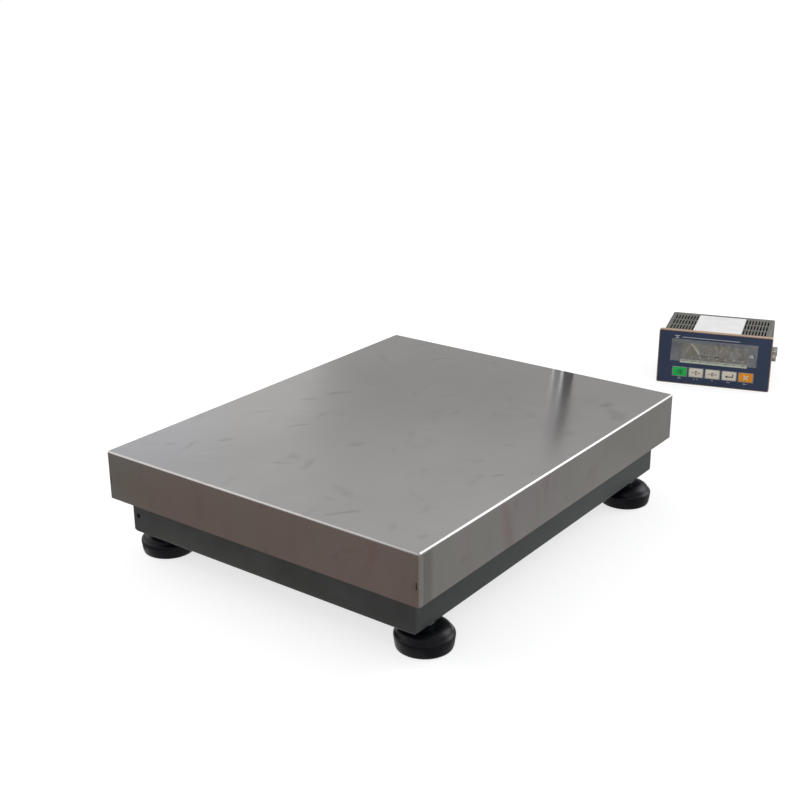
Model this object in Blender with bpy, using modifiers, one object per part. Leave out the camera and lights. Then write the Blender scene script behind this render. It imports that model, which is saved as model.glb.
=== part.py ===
"""Bench platform scale: a stainless pan on a single-point load cell, a welded base frame
on four levelling feet, and the panel controller that reads the cell, standing behind it.

Metres, +Z up, floor at z = 0. The origin is on the floor at the middle of the whole set.
The short side of the platform runs along X, the long side along Y, the controller behind it.
"""

import math

import bmesh
import bpy
from mathutils import Matrix, Vector

# Clearance left between pieces that touch
SEAT = 0.0003

# How far cutters run past a face, and how far joined shapes run into each other
OVERSHOOT = 0.010
OVERLAP = 0.001

# Platform: overall size and heights
PLATFORM_WIDTH = 0.400
PLATFORM_LENGTH = 0.500
GROUND_CLEARANCE = 0.030

# Pan, folded from one sheet
PAN_SHEET = 0.0015
PAN_SKIRT = 0.053
PAN_FOLD_RADIUS = 0.0022
PAN_CORNER_RADIUS = 0.0025
CORNER_SLOT_HEIGHT = 0.007
CORNER_SLOT_WIDTH = 0.0012

# Base frame, a welded ring of rectangular tube
FRAME_SETBACK = 0.015
RING_WIDTH = 0.030
RING_HEIGHT = 0.040
TUBE_RADIUS = 0.003
VENT_HOLE_RADIUS = 0.0025
VENT_HOLE_DEPTH = 0.006
VENT_HOLE_FROM_CORNER = 0.009

# Folded channels that carry the load cell
CHANNEL_WIDTH = 0.060
CHANNEL_HEIGHT = 0.020
CHANNEL_WALL = 0.003

# Upper frame, a welded ring of square tube
SPIDER_TUBE = 0.020
SPIDER_EDGE_RADIUS = 0.002
PAD_RADIUS = 0.0105
PAD_TOP_RADIUS = 0.009
PAD_THICKNESS = 0.002
PAD_FROM_CORNER = 0.030

# Load cell, its spacers and screws
CELL_LENGTH = 0.150
CELL_WIDTH = 0.030
CELL_HEIGHT = 0.040
CELL_BORE_RADIUS = 0.0135
CELL_BORE_SPACING = 0.038
CELL_SLOT_HEIGHT = 0.010
SPACER_LENGTH = 0.050
SPACER_THICKNESS = 0.004
CELL_BOLT_INSET = 0.0125
CELL_BOLT_PITCH = 0.025
CELL_BOLT_RADIUS = 0.004
CELL_BOLT_HEAD_RADIUS = 0.0065
CELL_BOLT_HEAD_HEIGHT = 0.008
CELL_BOLT_THREAD_DEPTH = 0.009
HEX_SOCKET_RADIUS = 0.0034
HEX_SOCKET_DEPTH = 0.004

# Overload stops
STOP_GAP = 0.0010
STOP_SHANK_RADIUS = 0.004
STOP_HEAD_ACROSS = 0.013
STOP_HEAD_HEIGHT = 0.0053
STOP_NUT_HEIGHT = 0.0065
STOP_THREAD_DEPTH = 0.012

# Levelling feet
FOOT_RADIUS = 0.0296
FOOT_SOLE_RADIUS = 0.0268
FOOT_RIM_HEIGHT = 0.015
FOOT_HEIGHT = 0.0240
FOOT_NECK_RADIUS = 0.0105
FOOT_SIDE_INSET = 0.030
FOOT_END_INSET = 0.050
FOOT_SOCKET_FLOOR = 0.008
FOOT_DOME_RADIUS = 0.0278
FOOT_DOME_STEPS = (0.35, 0.65, 0.88, 1.0)
FOOT_SHOULDER = (0.0006, 0.0004)
FOOT_RIM_ROUND = 0.0015
FOOT_SOLE_ROUND = (0.0010, 0.0015)
STUD_RADIUS = 0.005
STUD_THREAD_DEPTH = 0.022
FOOT_NUT_ACROSS = 0.017

# Spirit level on the base channel
LEVEL_RADIUS = 0.012
LEVEL_HEIGHT = 0.010
LEVEL_WALL = 0.0015
LEVEL_FLOOR = 0.003
LEVEL_FROM_TUBE = 0.040
VIAL_RECESS = 0.001
VIAL_DOME_RISE = 0.001

# Cable gland at the back of the frame
GLAND_SIDE = 0.100
GLAND_STEM_RADIUS = 0.006
GLAND_BORE_RADIUS = 0.003
GLAND_HEX_ACROSS = 0.016
GLAND_HEX_LENGTH = 0.005
GLAND_DOME_LENGTH = 0.014
GLAND_DOME_RADIUS = 0.0074
GLAND_TIP_RADIUS = 0.0048

# Controller: where it stands from the platform's middle, and how its front is laid out
CONTROLLER_PLACE = (0.089, 0.628)
CONTROLLER_TURN = math.radians(17.5)
BEZEL_WIDTH = 0.160
BEZEL_HEIGHT = 0.080
BEZEL_DEPTH = 0.008
BEZEL_CORNER = 0.0025
BEZEL_FACE = 0.003
BEZEL_RIM = 0.0010
OVERLAY_THICKNESS = 0.0005
WINDOW_WIDTH = 0.095
WINDOW_HEIGHT = 0.0245
WINDOW_CENTRE_HEIGHT = 0.050
WINDOW_FLANGE = 0.003
WINDOW_FLANGE_THICKNESS = 0.0015
KEY_WIDTH = 0.0195
KEY_HEIGHT = 0.0126
KEY_PITCH = 0.0235
KEY_CENTRE_HEIGHT = 0.0186
KEY_CORNER = 0.0014
KEY_PROUD = 0.0006
KEY_LENGTH = 0.0050
KEY_TRAVEL = 0.0005
KEY_NAMES = ("key_function", "key_tare", "key_zero", "key_enter", "key_exit")

# Controller: sleeve, back and boards
SLEEVE_WIDTH = 0.150
SLEEVE_HEIGHT = 0.074
SLEEVE_LENGTH = 0.111
SLEEVE_WALL = 0.002
VENT_WIDTH = 0.0022
VENT_LENGTH = 0.024
VENT_PITCH = 0.0044
VENT_ROW_GAP = 0.005
VENT_FROM_SIDE = 0.008
VENT_COLUMNS = 8
VENT_ROWS = 3
BACK_THICKNESS = 0.002
BACK_PLUG_DEPTH = 0.004
BOARD_THICKNESS = 0.0016
DISPLAY_BOARD_BACK = 0.018
DIGIT_BLOCK_WIDTH = 0.084
DIGIT_BLOCK_HEIGHT = 0.020
SWITCH_SIZE = 0.006
SWITCH_HEIGHT = 0.0035
SWITCH_STEM_RADIUS = 0.00175
MAIN_BOARD_HEIGHT = 0.020
MAIN_BOARD_LENGTH = 0.078
LEDGE = 0.003

# Controller: parts on the main board, placed from its edges
PARTS_SETBACK = 0.010
TRANSFORMER_SIZE = (0.034, 0.028, 0.026)
TRANSFORMER_INSET = 0.012
CAPACITOR_RADIUS = 0.008
CAPACITOR_HEIGHT = 0.024
CAPACITOR_GAP = 0.006
PROCESSOR_SIZE = (0.020, 0.020, 0.0035)
PROCESSOR_INSET = 0.022

# Controller: connectors on the back, counted in wire ways, placed from the sleeve's side
TERMINAL_HEIGHT = 0.012
TERMINAL_UPPER_ROW = 0.052
TERMINAL_LOWER_ROW = 0.028
TERMINAL_MARGIN = 0.0005
POWER_WAYS = 5
SIGNAL_WAYS = 10
CELL_WAYS = 7
POWER_INSET = 0.016
SIGNAL_INSET = 0.054
CELL_INSET = 0.024
TERMINAL_PROUD = 0.008
TERMINAL_DEPTH = 0.010
WIRE_PITCH = 0.005
WIRE_HOLE_RADIUS = 0.0014

# Controller: clamps that would pull it against a panel
CLAMP_HEIGHT = 0.014
CLAMP_LENGTH = 0.030
CLAMP_REACH = 0.009
CLAMP_WALL = 0.002
CLAMP_FROM_BEZEL = 0.040
CLAMP_SCREW_RADIUS = 0.002
CLAMP_SCREW_LENGTH = 0.048
CLAMP_SCREW_HEAD_RADIUS = 0.0035
CLAMP_SCREW_HEAD = 0.003
CLAMP_SLOT_DEPTH = 0.001

# Heights of the platform's stack, from the floor up
FRAME_TOP = GROUND_CLEARANCE + RING_HEIGHT
CHANNEL_TOP = GROUND_CLEARANCE + CHANNEL_HEIGHT
LOWER_SPACER_BOTTOM = CHANNEL_TOP + SEAT
CELL_BOTTOM = LOWER_SPACER_BOTTOM + SPACER_THICKNESS + SEAT
CELL_TOP = CELL_BOTTOM + CELL_HEIGHT
UPPER_SPACER_BOTTOM = CELL_TOP + SEAT
SPIDER_BOTTOM = UPPER_SPACER_BOTTOM + SPACER_THICKNESS + SEAT
SPIDER_TOP = SPIDER_BOTTOM + SPIDER_TUBE
PAD_BOTTOM = SPIDER_TOP + SEAT
PAN_TOP = PAD_BOTTOM + PAD_THICKNESS + SEAT + PAN_SHEET

# Plan of the base frame and of the upper frame, whose tubes lie over each other
FRAME_WIDTH = PLATFORM_WIDTH - 2 * FRAME_SETBACK
FRAME_LENGTH = PLATFORM_LENGTH - 2 * FRAME_SETBACK
RING_X = FRAME_WIDTH / 2 - RING_WIDTH / 2
RING_Y = FRAME_LENGTH / 2 - RING_WIDTH / 2
CELL_BOLT_MIDDLE = CELL_LENGTH / 2 - CELL_BOLT_INSET - CELL_BOLT_PITCH / 2
CELL_BOLT_OFFSETS = (-CELL_BOLT_PITCH / 2, CELL_BOLT_PITCH / 2)
CORNERS = ((1, -1), (1, 1), (-1, 1), (-1, -1))
FOOT_X = PLATFORM_WIDTH / 2 - FOOT_SIDE_INSET
FOOT_Y = PLATFORM_LENGTH / 2 - FOOT_END_INSET

# Depths of the controller, from the front of its bezel back
RECESS_FLOOR = OVERLAY_THICKNESS + SEAT
SLEEVE_FRONT = BEZEL_FACE + SEAT
SLEEVE_BACK = SLEEVE_FRONT + SLEEVE_LENGTH
SLEEVE_STEP = (BEZEL_HEIGHT - SLEEVE_HEIGHT) / 2
SLEEVE_INNER_WIDTH = SLEEVE_WIDTH - 2 * SLEEVE_WALL
SLEEVE_INNER_HEIGHT = SLEEVE_HEIGHT - 2 * SLEEVE_WALL
BACK_FACE = SLEEVE_BACK + SEAT + BACK_THICKNESS
LEAN = math.atan2(SLEEVE_STEP, BACK_FACE - BEZEL_DEPTH)
BEZEL_MIDDLE = BEZEL_HEIGHT / 2
SLEEVE_TOP = BEZEL_MIDDLE + SLEEVE_HEIGHT / 2
KEY_BACK = KEY_LENGTH - KEY_PROUD

# Middle of the set: halfway from the front of the pan to the controller's rearmost corner
BACK_REACH = BACK_FACE * math.cos(LEAN) + SLEEVE_TOP * math.sin(LEAN)
CORNER_REACH = BACK_REACH * math.cos(CONTROLLER_TURN) + SLEEVE_WIDTH / 2 * math.sin(CONTROLLER_TURN)
SET_MIDDLE = (CONTROLLER_PLACE[1] + CORNER_REACH - PLATFORM_LENGTH / 2) / 2


def make_collection(name, hidden):
    """A collection linked to the scene."""
    collection = bpy.data.collections.new(name)
    bpy.context.scene.collection.children.link(collection)
    collection.hide_render = hidden
    return collection


for old in list(bpy.data.objects):
    bpy.data.objects.remove(old, do_unlink=True)
PARTS = make_collection("platform_scale", False)
CUTTERS = make_collection("cutters", True)


def material(name, colour, roughness, metallic=0.0):
    """A plain surface: linear colour, roughness and metallic value."""
    made = bpy.data.materials.new(name)
    made.use_nodes = True
    shader = made.node_tree.nodes["Principled BSDF"]
    shader.inputs["Base Color"].default_value = (*colour, 1.0)
    shader.inputs["Roughness"].default_value = roughness
    shader.inputs["Metallic"].default_value = metallic
    return made


STAINLESS = material("satin_stainless", (0.42, 0.40, 0.38), 0.35, 1.0)
FRAME_PAINT = material("frame_paint", (0.045, 0.055, 0.052), 0.5)
ZINC = material("zinc_plated_steel", (0.55, 0.55, 0.52), 0.35, 1.0)
ALUMINIUM = material("milled_aluminium", (0.65, 0.65, 0.66), 0.3, 1.0)
RUBBER = material("black_rubber", (0.015, 0.015, 0.016), 0.7)
BLACK_PLASTIC = material("black_plastic", (0.012, 0.013, 0.016), 0.35)
HOUSING_PLASTIC = material("grey_plastic", (0.07, 0.068, 0.058), 0.55)
TAN_PLASTIC = material("tan_plastic", (0.42, 0.27, 0.17), 0.5)
NAVY_FILM = material("navy_film", (0.02, 0.035, 0.09), 0.35)
SMOKED_WINDOW = material("smoked_window", (0.05, 0.042, 0.03), 0.15)
GREEN_KEY = material("green_key", (0.01, 0.48, 0.07), 0.4)
CREAM_KEY = material("cream_key", (0.80, 0.68, 0.58), 0.4)
ORANGE_KEY = material("orange_key", (0.88, 0.27, 0.01), 0.4)
BOARD_GREEN = material("circuit_board", (0.01, 0.10, 0.03), 0.4)
CLEAR_ACRYLIC = material("clear_acrylic", (0.60, 0.72, 0.30), 0.1)
TERMINAL_GREEN = material("terminal_green", (0.02, 0.22, 0.06), 0.45)


def empty(name, place, parent=None, turn=(0.0, 0.0, 0.0)):
    """A parent for the pieces of one assembly."""
    made = bpy.data.objects.new(name, None)
    made.location = place
    made.rotation_euler = turn
    made.parent = parent
    PARTS.objects.link(made)
    return made


def add(name, form, place, parent, surface=None):
    """An object from a bmesh: a part where it has a surface, else a cutter or a joined shape."""
    mesh = bpy.data.meshes.new(name)
    form.to_mesh(mesh)
    form.free()
    made = bpy.data.objects.new(name, mesh)
    made.location = place
    made.parent = parent
    if surface:
        mesh.materials.append(surface)
        PARTS.objects.link(made)
    else:
        made.hide_render = True
        made.display_type = "WIRE"
        CUTTERS.objects.link(made)
    return made


def cut(piece, cutter):
    """Takes the cutter's shape out of the piece."""
    modifier = piece.modifiers.new(cutter.name, "BOOLEAN")
    modifier.operation = "DIFFERENCE"
    modifier.object = cutter


def join(piece, other):
    """Makes the other shape one with the piece."""
    modifier = piece.modifiers.new(other.name, "BOOLEAN")
    modifier.operation = "UNION"
    modifier.object = other


def round_edges(piece, width, segments=2):
    """Rounds the square edges that the piece has so far."""
    modifier = piece.modifiers.new("rounded_edges", "BEVEL")
    modifier.width = width
    modifier.segments = segments
    modifier.limit_method = "ANGLE"
    modifier.angle_limit = math.radians(60)


def smooth_round(piece):
    """Shades round sides smooth and leaves square edges sharp."""
    piece.data.shade_smooth()
    piece.data.set_sharp_from_angle(angle=math.radians(35))


def block_form(size, corner=0.0, along=2, segments=3):
    """A box about its middle. A corner radius rounds the four edges that run along one axis."""
    form = bmesh.new()
    bmesh.ops.create_cube(form, size=1.0)
    bmesh.ops.scale(form, vec=size, verts=form.verts)
    if corner:
        edges = []
        for edge in form.edges:
            run = edge.verts[0].co - edge.verts[1].co
            if abs(run[along]) > 0.9 * run.length:
                edges.append(edge)
        bmesh.ops.bevel(
            form,
            geom=edges,
            offset=corner,
            segments=segments,
            profile=0.5,
            affect="EDGES",
            material=-1,
        )
    return form


def rod_form(radius, length, axis="Z", sides=24, end_radius=None):
    """A cylinder about its middle, or a cone where the end has its own radius."""
    turns = {
        "X": Matrix.Rotation(math.pi / 2, 3, "Y"),
        "Y": Matrix.Rotation(-math.pi / 2, 3, "X"),
        "Z": Matrix.Identity(3),
    }
    form = bmesh.new()
    bmesh.ops.create_cone(
        form,
        cap_ends=True,
        segments=sides,
        radius1=radius,
        radius2=radius if end_radius is None else end_radius,
        depth=length,
    )
    bmesh.ops.rotate(form, matrix=turns[axis], verts=form.verts)
    return form


def hex_form(across, length, axis="Z"):
    """A hexagonal prism about its middle, by its width across flats."""
    return rod_form(across / math.sqrt(3), length, axis, sides=6)


def turned(name, profile, place, parent, surface, sides=28):
    """A turned piece: its profile of radius and height runs down the outer side."""
    mesh = bpy.data.meshes.new(name)
    points = [(radius, 0.0, height) for radius, height in profile]
    steps = [(index, index + 1) for index in range(len(points) - 1)]
    mesh.from_pydata(points, steps, [])
    made = bpy.data.objects.new(name, mesh)
    made.location = place
    made.parent = parent
    mesh.materials.append(surface)
    PARTS.objects.link(made)
    screw = made.modifiers.new("turned", "SCREW")
    screw.axis = "Z"
    screw.steps = sides
    screw.render_steps = sides
    screw.use_merge_vertices = True
    screw.merge_threshold = 0.00001
    screw.use_smooth_shade = True
    return made


BASE = empty("base_origin", (0.0, -SET_MIDDLE, 0.0))
PLATFORM = empty("platform_origin", (0.0, 0.0, SPIDER_BOTTOM), BASE)
CONTROLLER = empty(
    "controller_origin",
    (*CONTROLLER_PLACE, BEZEL_DEPTH * math.sin(LEAN)),
    BASE,
    (-LEAN, 0.0, CONTROLLER_TURN),
)


def channel(name, middle_y, bottom, open_side, length, parent):
    """A folded channel across the platform, open upwards (1) or downwards (-1)."""
    made = add(
        name,
        block_form((length, CHANNEL_WIDTH, CHANNEL_HEIGHT)),
        (0.0, middle_y, bottom + CHANNEL_HEIGHT / 2),
        parent,
    )
    inside = add(
        name + "_inside",
        block_form((length * 2, CHANNEL_WIDTH - 2 * CHANNEL_WALL, CHANNEL_HEIGHT)),
        (0.0, middle_y, bottom + CHANNEL_HEIGHT / 2 + open_side * CHANNEL_WALL),
        parent,
    )
    cut(made, inside)
    return made


def cell_screw_holes(piece, name, side, bottom, top, parent):
    """Clearance holes for the two screws at one end of the load cell."""
    for index, offset in enumerate(CELL_BOLT_OFFSETS, 1):
        hole = add(
            f"{name}_{index}",
            rod_form(CELL_BOLT_RADIUS + SEAT, top - bottom),
            (0.0, side * CELL_BOLT_MIDDLE + offset, (top + bottom) / 2),
            parent,
        )
        cut(piece, hole)


def tube_ring(name, width, length, tube_width, height, bottom, edge_radius, parent, surface):
    """A rectangular ring of welded tube with rounded edges."""
    ring = add(
        name, block_form((width, length, height)), (0.0, 0.0, bottom + height / 2), parent, surface
    )
    inside = add(
        name + "_inside",
        block_form((width - 2 * tube_width, length - 2 * tube_width, height * 2)),
        (0.0, 0.0, bottom + height / 2),
        parent,
    )
    cut(ring, inside)
    round_edges(ring, edge_radius)
    return ring


def make_base_frame():
    """Welded ring, the channel under the fixed end of the cell, and every hole in them."""
    frame = tube_ring(
        "base_frame",
        FRAME_WIDTH,
        FRAME_LENGTH,
        RING_WIDTH,
        RING_HEIGHT,
        GROUND_CLEARANCE,
        TUBE_RADIUS,
        BASE,
        FRAME_PAINT,
    )
    span = FRAME_WIDTH - RING_WIDTH
    join(frame, channel("base_channel", -CELL_BOLT_MIDDLE, GROUND_CLEARANCE, -1, span, BASE))
    cell_screw_holes(frame, "channel_hole", -1, GROUND_CLEARANCE, CHANNEL_TOP + OVERSHOOT, BASE)
    for index, (x, y) in enumerate(CORNERS, 1):
        stud_depth = STUD_THREAD_DEPTH + SEAT
        stud_hole = add(
            f"stud_hole_{index}",
            rod_form(STUD_RADIUS + SEAT, 2 * stud_depth, sides=16),
            (x * FOOT_X, y * FOOT_Y, GROUND_CLEARANCE),
            BASE,
        )
        cut(frame, stud_hole)
        stop_hole = add(
            f"stop_hole_{index}",
            rod_form(STOP_SHANK_RADIUS + SEAT, 2 * (STOP_THREAD_DEPTH + SEAT), sides=16),
            (x * RING_X, y * RING_Y, FRAME_TOP),
            BASE,
        )
        cut(frame, stop_hole)
    gland_hole = add(
        "gland_hole",
        rod_form(GLAND_STEM_RADIUS + SEAT, 2 * RING_WIDTH, "Y", 16),
        (GLAND_SIDE, RING_Y, GROUND_CLEARANCE + RING_HEIGHT / 2),
        BASE,
    )
    cut(frame, gland_hole)
    vent_hole = add(
        "vent_hole",
        rod_form(VENT_HOLE_RADIUS, 2 * VENT_HOLE_DEPTH, "Y", 12),
        (
            VENT_HOLE_FROM_CORNER - FRAME_WIDTH / 2,
            -FRAME_LENGTH / 2,
            GROUND_CLEARANCE + RING_HEIGHT / 2,
        ),
        BASE,
    )
    cut(frame, vent_hole)


def make_upper_frame():
    """Welded ring and channel that spread the pan's load to the live end of the cell."""
    width = 2 * RING_X + SPIDER_TUBE
    length = 2 * RING_Y + SPIDER_TUBE
    spider = tube_ring(
        "upper_frame", width, length, SPIDER_TUBE, SPIDER_TUBE, 0.0, SPIDER_EDGE_RADIUS, PLATFORM,
        FRAME_PAINT,
    )
    join(spider, channel("upper_channel", CELL_BOLT_MIDDLE, 0.0, 1, width - SPIDER_TUBE, PLATFORM))
    cell_screw_holes(spider, "spider_hole", 1, -OVERSHOOT, CHANNEL_HEIGHT, PLATFORM)
    for index, (x, y) in enumerate(CORNERS, 1):
        add(
            f"pan_pad_{index}",
            rod_form(PAD_RADIUS, PAD_THICKNESS, end_radius=PAD_TOP_RADIUS),
            (x * RING_X, y * (RING_Y - PAD_FROM_CORNER), PAD_BOTTOM - SPIDER_BOTTOM + PAD_THICKNESS / 2),
            PLATFORM,
            RUBBER,
        )


def make_pan():
    """One folded sheet: a flat top and four skirts that meet at welded corners."""
    form = block_form((PLATFORM_WIDTH, PLATFORM_LENGTH, PAN_SKIRT), PAN_CORNER_RADIUS)
    floor = [face for face in form.faces if face.normal.z < -0.9]
    bmesh.ops.delete(form, geom=floor, context="FACES")
    top_edges = []
    for edge in form.edges:
        if all(vertex.co.z > 0 for vertex in edge.verts):
            top_edges.append(edge)
    bmesh.ops.bevel(
        form,
        geom=top_edges,
        offset=PAN_FOLD_RADIUS,
        segments=3,
        profile=0.5,
        affect="EDGES",
        material=-1,
    )
    pan = add("pan", form, (0.0, 0.0, PAN_TOP - PAN_SKIRT / 2 - SPIDER_BOTTOM), PLATFORM, STAINLESS)
    sheet = pan.modifiers.new("sheet", "SOLIDIFY")
    sheet.thickness = PAN_SHEET
    sheet.offset = -1
    sheet.use_even_offset = True
    for index, (x, y) in enumerate(CORNERS, 1):
        slot = add(
            f"corner_slot_{index}",
            block_form((CORNER_SLOT_WIDTH, 4 * PAN_CORNER_RADIUS, CORNER_SLOT_HEIGHT)),
            (
                x * (PLATFORM_WIDTH / 2 - PAN_CORNER_RADIUS / 2),
                y * (PLATFORM_LENGTH / 2 - PAN_CORNER_RADIUS / 2),
                PAN_TOP - PAN_SKIRT / 2 - SPIDER_BOTTOM,
            ),
            PLATFORM,
        )
        slot.rotation_euler = (0.0, 0.0, -x * y * math.pi / 4)
        cut(pan, slot)


def make_load_cell():
    """Single-point beam: two bores joined by a slot leave four thin places that bend."""
    middle = CELL_BOTTOM + CELL_HEIGHT / 2
    cell = add(
        "load_cell", block_form((CELL_WIDTH, CELL_LENGTH, CELL_HEIGHT)), (0.0, 0.0, middle), BASE, ALUMINIUM
    )
    bore = add("cell_bore_1", rod_form(CELL_BORE_RADIUS, 2 * CELL_WIDTH, "X"),
               (0.0, -CELL_BORE_SPACING / 2, middle), BASE)
    other = add("cell_bore_2", rod_form(CELL_BORE_RADIUS, 2 * CELL_WIDTH, "X"),
                (0.0, CELL_BORE_SPACING / 2, middle), BASE)
    slot = add("cell_slot", block_form((2 * CELL_WIDTH, CELL_BORE_SPACING, CELL_SLOT_HEIGHT)),
               (0.0, 0.0, middle), BASE)
    for cutter in (bore, other, slot):
        cut(cell, cutter)
    thread = CELL_BOLT_THREAD_DEPTH + SEAT
    cell_screw_holes(cell, "lower_cell_thread", -1, CELL_BOTTOM - OVERSHOOT, CELL_BOTTOM + thread, BASE)
    cell_screw_holes(cell, "upper_cell_thread", 1, CELL_TOP - thread, CELL_TOP + OVERSHOOT, BASE)
    for name, side, bottom, parent in (
        ("bottom_spacer", -1, LOWER_SPACER_BOTTOM, BASE),
        ("top_spacer", 1, UPPER_SPACER_BOTTOM - SPIDER_BOTTOM, PLATFORM),
    ):
        spacer = add(
            name,
            block_form((CELL_WIDTH, SPACER_LENGTH, SPACER_THICKNESS)),
            (0.0, side * CELL_BOLT_MIDDLE, bottom + SPACER_THICKNESS / 2),
            parent,
            ZINC,
        )
        past = bottom + SPACER_THICKNESS + OVERSHOOT
        cell_screw_holes(spacer, name + "_hole", side, bottom - OVERSHOOT, past, parent)


def socket_screw(name, place, parent, shank, head_up):
    """Socket head cap screw whose head rests at the place given, with a hexagon socket."""
    screw = add(name, rod_form(CELL_BOLT_RADIUS, shank), (*place[:2], place[2] - head_up * shank / 2),
                parent, ZINC)
    head = add(name + "_head", rod_form(CELL_BOLT_HEAD_RADIUS, CELL_BOLT_HEAD_HEIGHT),
               (*place[:2], place[2] + head_up * (CELL_BOLT_HEAD_HEIGHT / 2)), parent)
    socket = add(name + "_socket", rod_form(HEX_SOCKET_RADIUS, 2 * HEX_SOCKET_DEPTH, sides=6),
                 (*place[:2], place[2] + head_up * CELL_BOLT_HEAD_HEIGHT), parent)
    join(screw, head)
    cut(screw, socket)


def make_cell_screws():
    """Two screws up through the base channel and two down through the upper channel."""
    grip = CHANNEL_WALL + SEAT + SPACER_THICKNESS + SEAT + CELL_BOLT_THREAD_DEPTH
    for index, offset in enumerate(CELL_BOLT_OFFSETS, 1):
        socket_screw(
            f"lower_cell_bolt_{index}",
            (0.0, -CELL_BOLT_MIDDLE + offset, CHANNEL_TOP - CHANNEL_WALL - SEAT),
            BASE,
            grip + SEAT,
            -1,
        )
        socket_screw(
            f"upper_cell_bolt_{index}",
            (0.0, CELL_BOLT_MIDDLE + offset, CHANNEL_WALL + SEAT),
            PLATFORM,
            grip + SEAT,
            1,
        )


def make_stops():
    """Hexagon screws stand in the base frame just under the upper frame, each with a locknut."""
    top = SPIDER_BOTTOM - STOP_GAP
    bottom = FRAME_TOP - STOP_THREAD_DEPTH
    for index, (x, y) in enumerate(CORNERS, 1):
        place = (x * RING_X, y * RING_Y)
        bolt = add(
            f"stop_bolt_{index}",
            rod_form(STOP_SHANK_RADIUS, top - OVERLAP - bottom, sides=16),
            (*place, (top - OVERLAP + bottom) / 2),
            BASE,
            ZINC,
        )
        head = add(
            f"stop_head_{index}",
            hex_form(STOP_HEAD_ACROSS, STOP_HEAD_HEIGHT),
            (*place, top - STOP_HEAD_HEIGHT / 2),
            BASE,
        )
        join(bolt, head)
        nut = add(
            f"stop_nut_{index}",
            hex_form(STOP_HEAD_ACROSS, STOP_NUT_HEIGHT),
            (*place, FRAME_TOP + SEAT + STOP_NUT_HEIGHT / 2),
            BASE,
            ZINC,
        )
        bore = add(
            f"stop_nut_bore_{index}",
            rod_form(STOP_SHANK_RADIUS + SEAT, 2 * STOP_NUT_HEIGHT, sides=16),
            (*place, FRAME_TOP + SEAT + STOP_NUT_HEIGHT / 2),
            BASE,
        )
        cut(nut, bore)


def foot_profile():
    """Down the outside of a foot pad: socket, neck, dome, shoulder, rim and sole."""
    bore = STUD_RADIUS + SEAT
    run = FOOT_DOME_RADIUS - FOOT_NECK_RADIUS
    rise = FOOT_HEIGHT - FOOT_RIM_HEIGHT
    profile = [(0.0, FOOT_SOCKET_FLOOR), (bore, FOOT_SOCKET_FLOOR), (bore, FOOT_HEIGHT)]
    profile.append((FOOT_NECK_RADIUS, FOOT_HEIGHT))
    for step in FOOT_DOME_STEPS:
        radius = FOOT_NECK_RADIUS + run * math.sin(step * math.pi / 2)
        height = FOOT_RIM_HEIGHT + rise * (1.0 - step) ** 0.8
        profile.append((radius, height))
    profile.append((FOOT_RADIUS - FOOT_SHOULDER[0], FOOT_RIM_HEIGHT - FOOT_SHOULDER[1]))
    profile.append((FOOT_RADIUS, FOOT_RIM_HEIGHT - FOOT_RIM_ROUND))
    profile.append((FOOT_SOLE_RADIUS + FOOT_SOLE_ROUND[0], FOOT_SOLE_ROUND[1]))
    profile.append((FOOT_SOLE_RADIUS, 0.0))
    profile.append((0.0, 0.0))
    return profile


def make_feet():
    """Each foot is a moulded pad, a threaded stud that turns in it, and a thin locknut."""
    nut_height = GROUND_CLEARANCE - FOOT_HEIGHT - 2 * SEAT
    stud_bottom = FOOT_SOCKET_FLOOR + SEAT
    stud_top = GROUND_CLEARANCE + STUD_THREAD_DEPTH
    for index, (x, y) in enumerate(CORNERS, 1):
        axis = empty(f"foot_axis_{index}", (x * FOOT_X, y * FOOT_Y, 0.0), BASE)
        turned(f"foot_pad_{index}", foot_profile(), (0.0, 0.0, 0.0), axis, RUBBER)
        stud = add(
            f"foot_stud_{index}",
            rod_form(STUD_RADIUS, stud_top - stud_bottom, sides=16),
            (0.0, 0.0, (stud_top + stud_bottom) / 2),
            axis,
            ZINC,
        )
        smooth_round(stud)
        nut = add(
            f"foot_nut_{index}",
            hex_form(FOOT_NUT_ACROSS, nut_height),
            (0.0, 0.0, FOOT_HEIGHT + SEAT + nut_height / 2),
            axis,
            ZINC,
        )
        bore = add(
            f"foot_nut_bore_{index}",
            rod_form(STUD_RADIUS + SEAT, 2 * nut_height, sides=16),
            (0.0, 0.0, FOOT_HEIGHT + SEAT + nut_height / 2),
            axis,
        )
        cut(nut, bore)


def make_level():
    """Circular spirit level on the base channel: a cup and the domed vial in it."""
    place = (FRAME_WIDTH / 2 - RING_WIDTH - LEVEL_FROM_TUBE, -CELL_BOLT_MIDDLE, CHANNEL_TOP + SEAT)
    inner = LEVEL_RADIUS - LEVEL_WALL
    cup = [
        (0.0, LEVEL_FLOOR),
        (inner, LEVEL_FLOOR),
        (inner, LEVEL_HEIGHT),
        (LEVEL_RADIUS, LEVEL_HEIGHT),
        (LEVEL_RADIUS, 0.0),
        (0.0, 0.0),
    ]
    turned("level_body", cup, place, BASE, ALUMINIUM, 24)
    vial_radius = inner - SEAT
    vial_top = LEVEL_HEIGHT - VIAL_RECESS
    vial = [
        (0.0, vial_top),
        (vial_radius / 2, vial_top - VIAL_DOME_RISE / 4),
        (vial_radius, vial_top - VIAL_DOME_RISE),
        (vial_radius, LEVEL_FLOOR + SEAT),
        (0.0, LEVEL_FLOOR + SEAT),
    ]
    turned("level_vial", vial, place, BASE, CLEAR_ACRYLIC, 24)


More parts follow.
